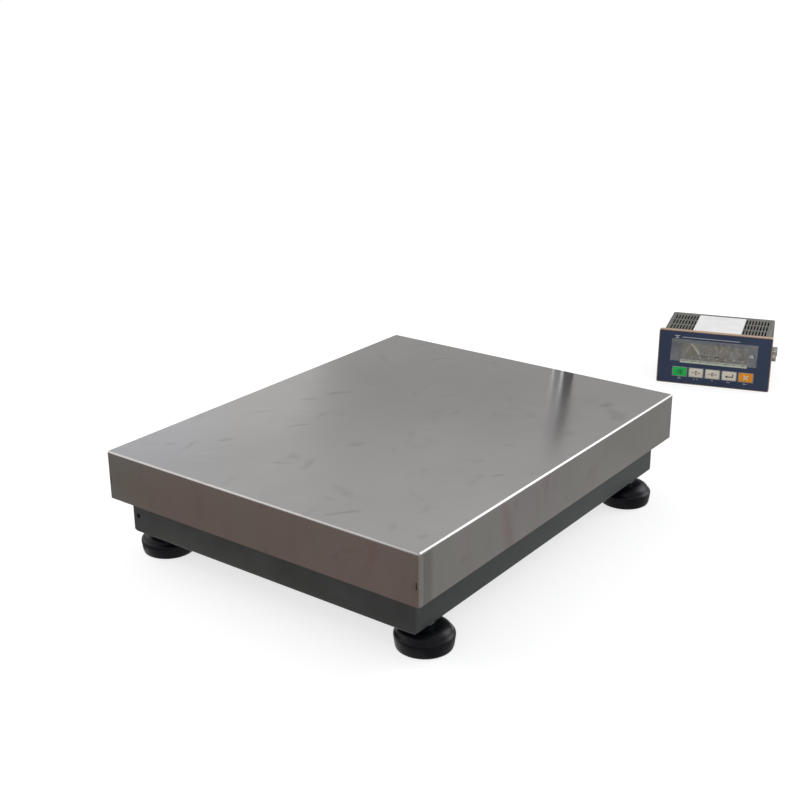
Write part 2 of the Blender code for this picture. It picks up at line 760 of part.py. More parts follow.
def make_gland():
    """Cable gland in the back tube: a bored stem, a hexagon and a domed nut."""
    height = GROUND_CLEARANCE + RING_HEIGHT / 2
    face = FRAME_LENGTH / 2 + SEAT
    gland = add(
        "cable_gland",
        hex_form(GLAND_HEX_ACROSS, GLAND_HEX_LENGTH, "Y"),
        (GLAND_SIDE, face + GLAND_HEX_LENGTH / 2, height),
        BASE,
        BLACK_PLASTIC,
    )
    stem = add(
        "gland_stem",
        rod_form(GLAND_STEM_RADIUS, RING_WIDTH, "Y", 16),
        (GLAND_SIDE, face + OVERLAP - RING_WIDTH / 2, height),
        BASE,
    )
    dome = add(
        "gland_dome",
        rod_form(GLAND_DOME_RADIUS, GLAND_DOME_LENGTH, "Y", 20, GLAND_TIP_RADIUS),
        (GLAND_SIDE, face + GLAND_HEX_LENGTH - OVERLAP + GLAND_DOME_LENGTH / 2, height),
        BASE,
    )
    bore = add(
        "gland_bore",
        rod_form(GLAND_BORE_RADIUS, 4 * RING_WIDTH, "Y", 16),
        (GLAND_SIDE, face, height),
        BASE,
    )
    join(gland, stem)
    join(gland, dome)
    cut(gland, bore)


def front_block(name, width, height, front, back, middle_height, surface=None, corner=0.0, across=0.0):
    """A box of the controller, by its face and by how far back its front and back lie."""
    return add(
        name,
        block_form((width, back - front, height), corner, along=1),
        (across, (front + back) / 2, middle_height),
        CONTROLLER,
        surface,
    )


def key_places():
    """Middle of each key across the bezel, with its name."""
    middle = (len(KEY_NAMES) - 1) / 2
    return [((index - middle) * KEY_PITCH, name) for index, name in enumerate(KEY_NAMES)]


def key_openings(piece, name, margin, back):
    """Openings for the five keys in a front layer."""
    for across, key in key_places():
        opening = front_block(
            f"{name}_{key}",
            KEY_WIDTH + 2 * margin,
            KEY_HEIGHT + 2 * margin,
            -OVERSHOOT,
            back,
            KEY_CENTRE_HEIGHT,
            corner=KEY_CORNER,
            across=across,
        )
        cut(piece, opening)


def make_front():
    """Moulded bezel, the printed overlay in its recess, and the smoked display window."""
    bezel = front_block(
        "front_bezel", BEZEL_WIDTH, BEZEL_HEIGHT, 0.0, BEZEL_DEPTH, BEZEL_MIDDLE, TAN_PLASTIC, BEZEL_CORNER
    )
    recess_width = BEZEL_WIDTH - 2 * BEZEL_RIM
    recess_height = BEZEL_HEIGHT - 2 * BEZEL_RIM
    recess_corner = BEZEL_CORNER - BEZEL_RIM
    cut(bezel, front_block("overlay_recess", recess_width, recess_height, -OVERSHOOT, RECESS_FLOOR,
                           BEZEL_MIDDLE, corner=recess_corner))
    cut(bezel, front_block("bezel_hollow", SLEEVE_WIDTH + 2 * SEAT, SLEEVE_HEIGHT + 2 * SEAT,
                           BEZEL_FACE, 2 * BEZEL_DEPTH, BEZEL_MIDDLE, corner=SLEEVE_WALL))
    cut(bezel, front_block("bezel_window", WINDOW_WIDTH, WINDOW_HEIGHT, -OVERSHOOT, BEZEL_DEPTH,
                           WINDOW_CENTRE_HEIGHT))
    key_openings(bezel, "bezel", SEAT, BEZEL_DEPTH)
    overlay = front_block(
        "front_overlay",
        recess_width - 2 * SEAT,
        recess_height - 2 * SEAT,
        0.0,
        OVERLAY_THICKNESS,
        BEZEL_MIDDLE,
        NAVY_FILM,
        recess_corner - SEAT,
    )
    cut(overlay, front_block("overlay_window", WINDOW_WIDTH, WINDOW_HEIGHT, -OVERSHOOT, BEZEL_DEPTH,
                             WINDOW_CENTRE_HEIGHT))
    key_openings(overlay, "overlay", SEAT, BEZEL_DEPTH)
    window = front_block(
        "display_window",
        WINDOW_WIDTH - 2 * SEAT,
        WINDOW_HEIGHT - 2 * SEAT,
        SEAT,
        BEZEL_FACE + SEAT + WINDOW_FLANGE_THICKNESS / 2,
        WINDOW_CENTRE_HEIGHT,
        SMOKED_WINDOW,
    )
    flange = front_block(
        "window_flange",
        WINDOW_WIDTH + 2 * WINDOW_FLANGE,
        WINDOW_HEIGHT + 2 * WINDOW_FLANGE,
        BEZEL_FACE + SEAT,
        BEZEL_FACE + SEAT + WINDOW_FLANGE_THICKNESS,
        WINDOW_CENTRE_HEIGHT,
    )
    join(window, flange)


def make_keys():
    """Five key caps that slide in the bezel, with softly rounded faces."""
    colours = (GREEN_KEY, CREAM_KEY, CREAM_KEY, CREAM_KEY, ORANGE_KEY)
    for (across, name), colour in zip(key_places(), colours):
        form = block_form((KEY_WIDTH, KEY_LENGTH, KEY_HEIGHT), KEY_CORNER, along=1)
        front_edges = []
        for edge in form.edges:
            if all(vertex.co.y < 0 for vertex in edge.verts):
                front_edges.append(edge)
        bmesh.ops.bevel(
            form,
            geom=front_edges,
            offset=KEY_PROUD / 2,
            segments=2,
            profile=0.5,
            affect="EDGES",
            material=-1,
        )
        add(name, form, (across, KEY_LENGTH / 2 - KEY_PROUD, KEY_CENTRE_HEIGHT), CONTROLLER, colour)


def make_boards():
    """Display board with its digit module and key switches, and the main board on two ledges."""
    board_width = SLEEVE_INNER_WIDTH - 2 * SEAT
    board_height = SLEEVE_INNER_HEIGHT - 2 * SEAT
    board_front = DISPLAY_BOARD_BACK - BOARD_THICKNESS
    board = front_block(
        "display_board", board_width, board_height, board_front, DISPLAY_BOARD_BACK, BEZEL_MIDDLE, BOARD_GREEN
    )
    stem_front = KEY_BACK + KEY_TRAVEL + SEAT
    for across, name in key_places():
        switch = front_block(
            f"{name}_switch", SWITCH_SIZE, SWITCH_SIZE, board_front - SWITCH_HEIGHT,
            board_front + BOARD_THICKNESS / 2, KEY_CENTRE_HEIGHT, across=across,
        )
        stem_back = board_front - SWITCH_HEIGHT / 2
        stem = add(
            f"{name}_stem",
            rod_form(SWITCH_STEM_RADIUS, stem_back - stem_front, "Y", 10),
            (across, (stem_front + stem_back) / 2, KEY_CENTRE_HEIGHT),
            CONTROLLER,
        )
        join(board, switch)
        join(board, stem)
    front_block(
        "digit_module",
        DIGIT_BLOCK_WIDTH,
        DIGIT_BLOCK_HEIGHT,
        BEZEL_FACE + WINDOW_FLANGE_THICKNESS + 2 * SEAT,
        board_front - SEAT,
        WINDOW_CENTRE_HEIGHT,
        BLACK_PLASTIC,
    )
    main_front = SLEEVE_BACK - BACK_PLUG_DEPTH - SEAT - MAIN_BOARD_LENGTH
    main_back = SLEEVE_BACK - BACK_PLUG_DEPTH - SEAT
    main = front_block(
        "main_board", board_width, BOARD_THICKNESS, main_front, main_back,
        MAIN_BOARD_HEIGHT + BOARD_THICKNESS / 2, BOARD_GREEN,
    )
    wide, deep, tall = TRANSFORMER_SIZE
    parts_front = main_front + PARTS_SETBACK
    transformer_left = TRANSFORMER_INSET - board_width / 2
    transformer = front_block(
        "transformer", wide, tall, parts_front, parts_front + deep, MAIN_BOARD_HEIGHT + tall / 2,
        across=transformer_left + wide / 2,
    )
    capacitor = add(
        "capacitor",
        rod_form(CAPACITOR_RADIUS, CAPACITOR_HEIGHT, sides=16),
        (
            transformer_left + wide + CAPACITOR_GAP + CAPACITOR_RADIUS,
            parts_front + deep / 2,
            MAIN_BOARD_HEIGHT + CAPACITOR_HEIGHT / 2,
        ),
        CONTROLLER,
    )
    wide, deep, tall = PROCESSOR_SIZE
    processor = front_block(
        "processor", wide, tall, parts_front, parts_front + deep, MAIN_BOARD_HEIGHT + tall / 2,
        across=board_width / 2 - PROCESSOR_INSET - wide / 2,
    )
    for item in (transformer, capacitor, processor):
        join(main, item)


def make_sleeve():
    """Moulded sleeve held in the bezel's hollow, with rows of vent slots above and below."""
    sleeve = front_block(
        "housing", SLEEVE_WIDTH, SLEEVE_HEIGHT, SLEEVE_FRONT, SLEEVE_BACK, BEZEL_MIDDLE,
        HOUSING_PLASTIC, SLEEVE_WALL,
    )
    cut(sleeve, front_block("sleeve_inside", SLEEVE_INNER_WIDTH, SLEEVE_INNER_HEIGHT, 0.0,
                            2 * SLEEVE_BACK, BEZEL_MIDDLE))
    ledge_back = SLEEVE_BACK - BACK_PLUG_DEPTH - SEAT
    ledge_top = MAIN_BOARD_HEIGHT - SEAT
    for side in (-1, 1):
        ledge = front_block(
            f"ledge_{'right' if side > 0 else 'left'}",
            LEDGE + OVERLAP,
            LEDGE,
            ledge_back - MAIN_BOARD_LENGTH,
            ledge_back,
            ledge_top - LEDGE / 2,
            across=side * (SLEEVE_INNER_WIDTH + OVERLAP - LEDGE) / 2,
        )
        join(sleeve, ledge)
    cut_vents(sleeve)
    for side in (-1, 1):
        hook_slot = front_block(
            f"hook_slot_{'right' if side > 0 else 'left'}",
            2 * CLAMP_SLOT_DEPTH,
            CLAMP_HEIGHT + 2 * SEAT,
            BEZEL_DEPTH + CLAMP_FROM_BEZEL - SEAT,
            BEZEL_DEPTH + CLAMP_FROM_BEZEL + CLAMP_LENGTH + SEAT,
            BEZEL_MIDDLE,
            across=side * SLEEVE_WIDTH / 2,
        )
        cut(sleeve, hook_slot)


def cut_vents(sleeve):
    """One cutter holds all the vent slots: two banks of columns beside the blank middle."""
    slots = bmesh.new()
    rows_length = VENT_ROWS * VENT_LENGTH + (VENT_ROWS - 1) * VENT_ROW_GAP
    first_row = (BEZEL_DEPTH + SLEEVE_BACK - rows_length) / 2 + VENT_LENGTH / 2
    for side in (-1, 1):
        for column in range(VENT_COLUMNS):
            across = side * (SLEEVE_WIDTH / 2 - VENT_FROM_SIDE - column * VENT_PITCH)
            for row in range(VENT_ROWS):
                back = first_row + row * (VENT_LENGTH + VENT_ROW_GAP)
                made = bmesh.ops.create_cube(slots, size=1.0)["verts"]
                size = Vector((VENT_WIDTH, VENT_LENGTH, 2 * SLEEVE_HEIGHT))
                bmesh.ops.scale(slots, vec=size, verts=made)
                bmesh.ops.translate(slots, vec=(across, back, BEZEL_MIDDLE), verts=made)
    cut(sleeve, add("vent_slots", slots, (0.0, 0.0, 0.0), CONTROLLER))


def make_back():
    """Back plate with a plug that enters the sleeve, and the connectors that stand in it."""
    back = front_block(
        "rear_cover", SLEEVE_WIDTH, SLEEVE_HEIGHT, SLEEVE_BACK + SEAT, BACK_FACE, BEZEL_MIDDLE,
        HOUSING_PLASTIC, SLEEVE_WALL,
    )
    plug = front_block(
        "cover_plug",
        SLEEVE_INNER_WIDTH - 2 * SEAT,
        SLEEVE_INNER_HEIGHT - 2 * SEAT,
        SLEEVE_BACK - BACK_PLUG_DEPTH + SEAT,
        BACK_FACE - BACK_THICKNESS / 2,
        BEZEL_MIDDLE,
    )
    plug_hollow = front_block(
        "plug_hollow",
        SLEEVE_INNER_WIDTH - 2 * SEAT - 2 * SLEEVE_WALL,
        SLEEVE_INNER_HEIGHT - 2 * SEAT - 2 * SLEEVE_WALL,
        SLEEVE_BACK - 2 * BACK_PLUG_DEPTH,
        SLEEVE_BACK + SEAT,
        BEZEL_MIDDLE,
    )
    join(back, plug)
    cut(back, plug_hollow)
    for name, ways, inset, height in (
        ("power_terminal", POWER_WAYS, POWER_INSET, TERMINAL_UPPER_ROW),
        ("signal_terminal", SIGNAL_WAYS, SIGNAL_INSET, TERMINAL_UPPER_ROW),
        ("cell_socket", CELL_WAYS, CELL_INSET, TERMINAL_LOWER_ROW),
    ):
        make_terminal(back, name, ways, inset, height)


def make_terminal(back, name, ways, inset, height):
    """A row of wire ways in one moulding, which stands in an opening of the back plate."""
    width = ways * WIRE_PITCH + 2 * TERMINAL_MARGIN
    across = inset + width / 2 - SLEEVE_INNER_WIDTH / 2
    opening = front_block(
        name + "_opening", width + 2 * SEAT, TERMINAL_HEIGHT + 2 * SEAT, SLEEVE_BACK,
        BACK_FACE + TERMINAL_PROUD, height, across=across,
    )
    cut(back, opening)
    terminal = front_block(
        name, width, TERMINAL_HEIGHT, BACK_FACE - TERMINAL_DEPTH, BACK_FACE + TERMINAL_PROUD, height,
        TERMINAL_GREEN, across=across,
    )
    holes = bmesh.new()
    turn = Matrix.Rotation(math.pi / 2, 3, "X")
    for index in range(ways):
        made = bmesh.ops.create_cone(
            holes, cap_ends=True, segments=8, radius1=WIRE_HOLE_RADIUS,
            radius2=WIRE_HOLE_RADIUS, depth=TERMINAL_PROUD,
        )["verts"]
        bmesh.ops.rotate(holes, matrix=turn, verts=made)
        shift = (index - (ways - 1) / 2) * WIRE_PITCH
        place = (across + shift, BACK_FACE + TERMINAL_PROUD, height)
        bmesh.ops.translate(holes, vec=place, verts=made)
    cut(terminal, add(name + "_wire_holes", holes, (0.0, 0.0, 0.0), CONTROLLER))


def make_clamps():
    """A bracket hooked in each side of the sleeve, with the screw that would press on the panel."""
    start = BEZEL_DEPTH + CLAMP_FROM_BEZEL
    for side, label in ((-1, "left"), (1, "right")):
        inner = SLEEVE_WIDTH / 2 - CLAMP_SLOT_DEPTH + SEAT
        outer = SLEEVE_WIDTH / 2 + CLAMP_REACH
        bracket = front_block(
            f"panel_clamp_{label}",
            outer - inner,
            CLAMP_HEIGHT,
            start,
            start + CLAMP_LENGTH,
            BEZEL_MIDDLE,
            ZINC,
            across=side * (outer + inner) / 2,
        )
        pocket = front_block(
            f"clamp_pocket_{label}",
            2 * (outer - inner),
            CLAMP_HEIGHT * 2,
            start + CLAMP_WALL,
            start + CLAMP_LENGTH - CLAMP_WALL,
            BEZEL_MIDDLE,
            across=side * (inner + CLAMP_WALL + outer - inner),
        )
        cut(bracket, pocket)
        screw_x = side * (SLEEVE_WIDTH / 2 + CLAMP_REACH / 2)
        hole = add(
            f"clamp_hole_{label}",
            rod_form(CLAMP_SCREW_RADIUS + SEAT, 4 * CLAMP_LENGTH, "Y", 12),
            (screw_x, start, BEZEL_MIDDLE),
            CONTROLLER,
        )
        cut(bracket, hole)
        tip = start - (CLAMP_SCREW_LENGTH - CLAMP_LENGTH) / 2
        screw = add(
            f"clamp_screw_{label}",
            rod_form(CLAMP_SCREW_RADIUS, CLAMP_SCREW_LENGTH, "Y", 12),
            (screw_x, tip + CLAMP_SCREW_LENGTH / 2, BEZEL_MIDDLE),
            CONTROLLER,
            ZINC,
        )
        head = add(
            f"clamp_screw_head_{label}",
            rod_form(CLAMP_SCREW_HEAD_RADIUS, CLAMP_SCREW_HEAD, "Y", 16),
            (screw_x, tip + CLAMP_SCREW_LENGTH, BEZEL_MIDDLE),
            CONTROLLER,
        )
        join(screw, head)


make_base_frame()
make_upper_frame()
make_pan()
make_load_cell()
make_cell_screws()
make_stops()
make_feet()
make_level()
make_gland()
make_front()
make_keys()
make_boards()
make_sleeve()
make_back()
make_clamps()
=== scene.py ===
import math

import bmesh
import bpy
from mathutils import Euler, Matrix, Vector


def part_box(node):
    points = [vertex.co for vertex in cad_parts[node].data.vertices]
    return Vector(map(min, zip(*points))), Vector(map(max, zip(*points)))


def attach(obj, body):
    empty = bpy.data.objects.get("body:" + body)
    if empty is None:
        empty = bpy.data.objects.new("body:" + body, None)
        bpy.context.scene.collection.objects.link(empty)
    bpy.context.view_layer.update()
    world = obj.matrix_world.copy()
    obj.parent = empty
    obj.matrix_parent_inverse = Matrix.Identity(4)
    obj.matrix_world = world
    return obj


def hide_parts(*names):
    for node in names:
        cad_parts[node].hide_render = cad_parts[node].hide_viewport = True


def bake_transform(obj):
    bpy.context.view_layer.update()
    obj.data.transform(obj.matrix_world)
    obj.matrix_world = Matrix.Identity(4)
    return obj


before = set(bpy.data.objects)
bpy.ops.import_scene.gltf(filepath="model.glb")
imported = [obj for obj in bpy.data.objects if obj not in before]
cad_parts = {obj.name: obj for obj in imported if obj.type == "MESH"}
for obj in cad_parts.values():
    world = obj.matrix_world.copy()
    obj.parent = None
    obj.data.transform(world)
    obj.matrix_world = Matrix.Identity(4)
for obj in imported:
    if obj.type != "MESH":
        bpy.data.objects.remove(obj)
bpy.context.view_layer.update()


# The viewpoint: standing at the near right corner of the platform, looking down over it
# to the controller behind. A plain lens with everything in focus.
eye_place = (0.78457, -1.31302, 0.63073)
eye_turn = 36.84
eye_down = 20.16
eye_roll = -0.374
eye = bpy.data.cameras.new("eye")
eye.lens = 57.96
eye.sensor_width = 36.0
eye.clip_start = 0.02
viewpoint = bpy.data.objects.new("eye", eye)
bpy.context.scene.collection.objects.link(viewpoint)
viewpoint.matrix_world = (
    Matrix.Translation(eye_place)
    @ Matrix.Rotation(math.radians(eye_turn), 4, "Z")
    @ Matrix.Rotation(math.radians(90.0 - eye_down), 4, "X")
    @ Matrix.Rotation(math.radians(eye_roll), 4, "Z")
)
bpy.context.scene.camera = viewpoint
bpy.context.scene.view_settings.view_transform = "Standard"


# The studio: a floor that is white to the eye, keeps the shadow and is clear from below, a
# soft white surround, and a lamp at the front left and one behind on the right. Cards that
# only shiny surfaces see stand for the room that the steel reflects.
def nodes_of(owner):
    """The node tree of a material or world, emptied."""
    owner.use_nodes = True
    owner.node_tree.nodes.clear()
    return owner.node_tree


def feed(tree, node, *fed, **named):
    """Fills a node's inputs, in order or by name: a socket is linked and a value is set."""
    pairs = list(zip(node.inputs, fed))
    pairs += [(node.inputs[name.replace("_", " ")], value) for name, value in named.items()]
    for place, value in pairs:
        if isinstance(value, bpy.types.NodeSocket):
            tree.links.new(value, place)
        else:
            place.default_value = value


def shade(tree, kind, *fed, **named):
    """Adds a node, fills its inputs and gives its first output."""
    made = tree.nodes.new(kind)
    feed(tree, made, *fed, **named)
    return made.outputs[0] if made.outputs else None


def add_math(tree, operation, first, second):
    """The result of a Math node on two sockets or numbers."""
    result = shade(tree, "ShaderNodeMath", first, second)
    result.node.operation = operation
    return result


def seen_directly(tree):
    """1 for what the eye, a mirror or glass sees of the surround, 0 for the light it gives."""
    path = tree.nodes.new("ShaderNodeLightPath").outputs
    seen = add_math(tree, "MAXIMUM", path["Is Camera Ray"], path["Is Glossy Ray"])
    return add_math(tree, "MAXIMUM", seen, path["Is Transmission Ray"])


white = (1.0, 1.0, 1.0, 1.0)
surround = bpy.data.worlds.new("surround")
bpy.context.scene.world = surround
tree = nodes_of(surround)
sky_light = shade(tree, "ShaderNodeBackground", Color=(0.97, 0.985, 1.0, 1.0), Strength=0.72)
seen_white = shade(tree, "ShaderNodeBackground", Color=white, Strength=1.0)
either = shade(tree, "ShaderNodeMixShader", seen_directly(tree), sky_light, seen_white)
shade(tree, "ShaderNodeOutputWorld", either)

floor_finish = bpy.data.materials.new("studio_floor")
tree = nodes_of(floor_finish)
glow = shade(tree, "ShaderNodeEmission", Color=white, Strength=0.705)
shaded = shade(tree, "ShaderNodeBsdfDiffuse", Color=(0.42, 0.42, 0.42, 1.0))
white_floor = shade(tree, "ShaderNodeAddShader", glow, shaded)
pale_floor = shade(tree, "ShaderNodeBsdfDiffuse", Color=(0.5, 0.5, 0.5, 1.0))
from_above = shade(tree, "ShaderNodeMixShader", seen_directly(tree), pale_floor, white_floor)
from_below = shade(tree, "ShaderNodeBsdfTransparent", Color=white)
is_below = tree.nodes.new("ShaderNodeNewGeometry").outputs["Backfacing"]
either = shade(tree, "ShaderNodeMixShader", is_below, from_above, from_below)
shade(tree, "ShaderNodeOutputMaterial", either)


def stage_card(name, corners, surface):
    """A flat card of the studio, which isn't part of the object."""
    form = bmesh.new()
    form.faces.new([form.verts.new(corner) for corner in corners])
    mesh = bpy.data.meshes.new(name)
    form.to_mesh(mesh)
    form.free()
    mesh.materials.append(surface)
    card = bpy.data.objects.new(name, mesh)
    bpy.context.scene.collection.objects.link(card)
    return card


def glossy_card(name, corners, colour):
    """A card that only shiny surfaces see, as a cloth, a wall or a window of the room."""
    cloth = bpy.data.materials.new(name)
    tree = nodes_of(cloth)
    even = shade(tree, "ShaderNodeEmission", Color=(*colour, 1.0), Strength=1.0)
    shade(tree, "ShaderNodeOutputMaterial", even)
    card = stage_card(name, corners, cloth)
    card.visible_camera = False
    card.visible_diffuse = False
    card.visible_shadow = False
    card.visible_transmission = False


stage_card("floor", ((-25, -25, 0), (25, -25, 0), (25, 25, 0), (-25, 25, 0)), floor_finish)
cloth_height = 0.0004
cloth_rim = ((-2.2, -2.4), (2.2, -2.4), (2.2, 2.0), (-2.2, 2.0))
cloth_hole = ((-0.19, -0.5), (0.19, -0.5), (0.19, -0.01), (-0.19, -0.01))
cloth_tones = (("front", (0.345, 0.268, 0.252)), ("right", (0.52, 0.495, 0.50)),
               ("back", (0.46, 0.445, 0.445)), ("left", (0.33, 0.30, 0.29)))
for side, (name, tone) in enumerate(cloth_tones):
    after = (side + 1) % 4
    corners = (cloth_rim[side], cloth_rim[after], cloth_hole[after], cloth_hole[side])
    glossy_card(f"cloth_{name}", [(x, y, cloth_height) for x, y in corners], tone)

pan_middle = Vector((0.0, -0.257, 0.123))
card_distance = 4.0
for name, left, right, bottom, top, tone in (
        ("backcloth_low", 96, 132, -2, 18.5, (0.575, 0.565, 0.565)),
        ("backcloth_high", 96, 133, 18.5, 27, (0.79, 0.775, 0.765)),
        ("window_left", 141, 176, 8, 44, (1.02, 1.05, 1.11))):
    corners = []
    for azimuth, elevation in ((left, bottom), (right, bottom), (right, top), (left, top)):
        way = Vector((1.0, 0.0, 0.0))
        way.rotate(Euler((0.0, -math.radians(elevation), math.radians(azimuth))))
        corners.append(pan_middle + card_distance * way)
    glossy_card(name, corners, tone)
arch_step = 27
arch_out = (0.83, 0.56)
arch_in = (0.42, 0.91)
for step, first in enumerate((-4, 23, 50, 77)):
    last = first + arch_step
    corners = []
    for angle, (radius, depth) in ((first, arch_out), (first, arch_in),
                                   (last, arch_in), (last, arch_out)):
        angle = math.radians(angle)
        way = Vector((radius * math.cos(angle), depth, radius * math.sin(angle)))
        corners.append(pan_middle + card_distance * way)
    glossy_card(f"window_arch_{step}", corners, (3.1, 3.1, 3.2))
post_y = -0.0045
post_foot = 0.1236
for name, left, right, tall, tone in (("light", 0.0385, 0.0412, 0.120, 0.95),
                                      ("grey", 0.0425, 0.0500, 0.110, 0.42),
                                      ("edge", 0.0503, 0.0540, 0.120, 0.95),
                                      ("dark", 0.0545, 0.0680, 0.105, 0.16)):
    post_top = post_foot + tall
    corners = ((left, post_foot), (right, post_foot), (right, post_top), (left, post_top))
    glossy_card(f"post_{name}", [(x, post_y, z) for x, z in corners], (tone, tone, tone * 1.03))


def soft_lamp(name, direction, distance, size, power, colour):
    """An area lamp that shines on the middle of the platform."""
    lamp = bpy.data.lights.new(name, "AREA")
    lamp.size = size
    lamp.energy = power
    lamp.color = colour
    holder = bpy.data.objects.new(name, lamp)
    way = Vector(direction).normalized()
    holder.location = Vector((0.0, -0.2, 0.1)) + way * distance
    holder.rotation_euler = way.to_track_quat("Z", "Y").to_euler()
    holder.visible_camera = False
    bpy.context.scene.collection.objects.link(holder)


soft_lamp("lamp_front_left", (-0.760, -0.354, 0.545), 2.6, 2.8, 26.0, (1.0, 0.99, 0.97))
soft_lamp("lamp_back_right", (0.454, 0.721, 0.523), 3.0, 1.6, 22.0, (1.0, 1.0, 1.0))


# The base frame: a ring of rectangular steel tube, mitred and welded, with a folded channel
# welded across it under the load cell. Sprayed dark green-grey after welding.
def noise_field(tree, waves, detail=4.0, turn=0.0, distortion=0.0, roughness=0.6):
    """A noise over the object, so many waves a metre along each axis, its axes turned."""
    here = tree.nodes.new("ShaderNodeTexCoord").outputs["Object"]
    here = shade(tree, "ShaderNodeMapping", here, Scale=[1.0 / count for count in waves],
                 Rotation=(0.0, 0.0, math.radians(turn)))
    here.node.vector_type = "TEXTURE"
    return shade(tree, "ShaderNodeTexNoise", Vector=here, Scale=1.0, Detail=detail,
                 Roughness=roughness, Distortion=distortion)


def between(tree, value, low, high, results=(0.0, 1.0), interpolation="SMOOTHSTEP"):
    """How far a value lies between two limits, from 0 to 1 or from one result to another."""
    span = shade(tree, "ShaderNodeMapRange", value, low, high, *results)
    span.node.interpolation_type = interpolation
    return span


def two_tones(tree, value, limits, tones):
    """A colour between two tones, by how far a value lies between two limits."""
    ramp = tree.nodes.new("ShaderNodeValToRGB")
    for stop, limit, tone in zip(ramp.color_ramp.elements, limits, tones):
        stop.position = limit
        stop.color = (*tone, 1.0)
    feed(tree, ramp, value)
    return ramp.outputs["Color"]


def finish(name, tones, roughness, mottle=20.0, grain=700.0, depth=0.00002, **inputs):
    """A surface with broad mottling between two tones, uneven gloss and a fine relief."""
    made = bpy.data.materials.new(name)
    made.use_nodes = True
    tree = made.node_tree
    broad = noise_field(tree, (mottle,) * 3, 5.0)
    fine = noise_field(tree, grain if isinstance(grain, tuple) else (grain,) * 3, 3.0, roughness=0.55)
    blend = add_math(tree, "ADD", add_math(tree, "MULTIPLY", fine, 0.5),
                     add_math(tree, "MULTIPLY", broad, 0.5))
    inputs["Base_Color"] = two_tones(tree, broad, (0.32, 0.68), tones)
    inputs["Roughness"] = between(tree, blend, 0.3, 0.7, roughness, "LINEAR")
    inputs["Normal"] = shade(tree, "ShaderNodeBump", Strength=0.5, Distance=depth, Height=fine)
    feed(tree, tree.nodes["Principled BSDF"], **inputs)
    return made


def cuboid(low, high):
    """A new shape: a box between two corners."""
    low, high = Vector(low), Vector(high)
    form = bmesh.new()
    bmesh.ops.create_cube(form, size=1.0)
    bmesh.ops.scale(form, vec=high - low, verts=form.verts)
    bmesh.ops.translate(form, vec=(low + high) / 2, verts=form.verts)
    return form


def rod(start, end, radius, sides=24):
    """A new shape: a round bar between two points."""
    start, end = Vector(start), Vector(end)
    form = bmesh.new()
    bmesh.ops.create_cone(form, cap_ends=True, segments=sides, radius1=radius, radius2=radius,
                          depth=(end - start).length)
    turn = (end - start).to_track_quat("Z", "Y").to_matrix()
    bmesh.ops.rotate(form, matrix=turn, verts=form.verts)
    bmesh.ops.translate(form, vec=(start + end) / 2, verts=form.verts)
    return form


def edges_along(form, axis):
    """The edges of a shape that run along one axis."""
    found = []
    for edge in form.edges:
        run = edge.verts[1].co - edge.verts[0].co
        if abs(run[axis]) > 0.99 * run.length:
            found.append(edge)
    return found


def edges_where(form, test):
    """The edges of a shape whose two ends both pass a test."""
    return [edge for edge in form.edges if all(test(vert.co) for vert in edge.verts)]


def round_off(form, edges, radius, segments):
    """Rounds edges of a shape to a radius."""
    bmesh.ops.bevel(form, geom=edges, offset=radius, segments=segments, profile=0.5,
                    affect="EDGES", material=-1)
    return form


def pour(form, *others):
    """Adds other shapes to a shape."""
    for other in others:
        mesh = bpy.data.meshes.new("poured")
        other.to_mesh(mesh)
        other.free()
        form.from_mesh(mesh)
        bpy.data.meshes.remove(mesh)
    return form


def worked(form, *others, operation="DIFFERENCE"):
    """One shape with others taken out of it, joined to it, or kept only where they meet it."""
    shapes = []
    for shape in (form, *others):
        mesh = bpy.data.meshes.new("shape")
        shape.to_mesh(mesh)
        shape.free()
        shapes.append(bpy.data.objects.new("shape", mesh))
        bpy.context.scene.collection.objects.link(shapes[-1])
    for other in shapes[1:]:
        step = shapes[0].modifiers.new("step", "BOOLEAN")
        step.operation = operation
        step.object = other
    bpy.context.view_layer.update()
    solved = shapes[0].evaluated_get(bpy.context.evaluated_depsgraph_get())
    result = bmesh.new()
    result.from_mesh(solved.to_mesh())
    solved.to_mesh_clear()
    for shape in shapes:
        mesh = shape.data
        bpy.data.objects.remove(shape)
        bpy.data.meshes.remove(mesh)
    return result


def only_verts(made):
    """The vertices among what an operation made."""
    return [item for item in made if isinstance(item, bmesh.types.BMVert)]


def weld_bead(form, start, end, radius):
    """Adds a rippled weld bead that lies between two points."""
    start, end = Vector(start), Vector(end)
    run = end - start
    steps = 2 * max(3, round(run.length / 0.0016))
    verts = bmesh.ops.create_circle(form, cap_ends=True, segments=10, radius=radius * 0.5)["verts"]
    bmesh.ops.rotate(form, matrix=run.to_track_quat("Z", "Y").to_matrix(), verts=verts)
    bmesh.ops.translate(form, vec=start, verts=verts)
    for step in range(1, steps + 1):
        edges = list({edge for vert in verts for edge in vert.link_edges
                      if edge.other_vert(vert) in verts})
        verts = only_verts(bmesh.ops.extrude_edge_only(form, edges=edges)["geom"])
        bmesh.ops.translate(form, vec=run / steps, verts=verts)
        size = 0.5 if step == steps else (1.0 if step % 2 else 0.86)
        middle = start + run * step / steps
        for vert in verts:
            vert.co = middle + (vert.co - middle).normalized() * radius * size
    form.faces.new(verts)


def make_piece(name, form, body, surface, replaced=None, sharp=35.0):
    """Turns a shape into a piece that rides on a body, if one is given, and replaces a node."""
    bmesh.ops.recalc_face_normals(form, faces=form.faces)
    mesh = bpy.data.meshes.new(name)
    form.to_mesh(mesh)
    form.free()
    mesh.shade_smooth()
    mesh.set_sharp_from_angle(angle=math.radians(sharp))
    mesh.materials.append(surface)
    piece = bpy.data.objects.new(name, mesh)
    bpy.context.scene.collection.objects.link(piece)
    if body:
        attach(piece, body)
    if replaced:
        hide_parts(replaced)
    return piece


def axis_of(node):
    """Where an upright CAD node has its axis."""
    low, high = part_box(node)
    return (low.x + high.x) / 2, (low.y + high.y) / 2


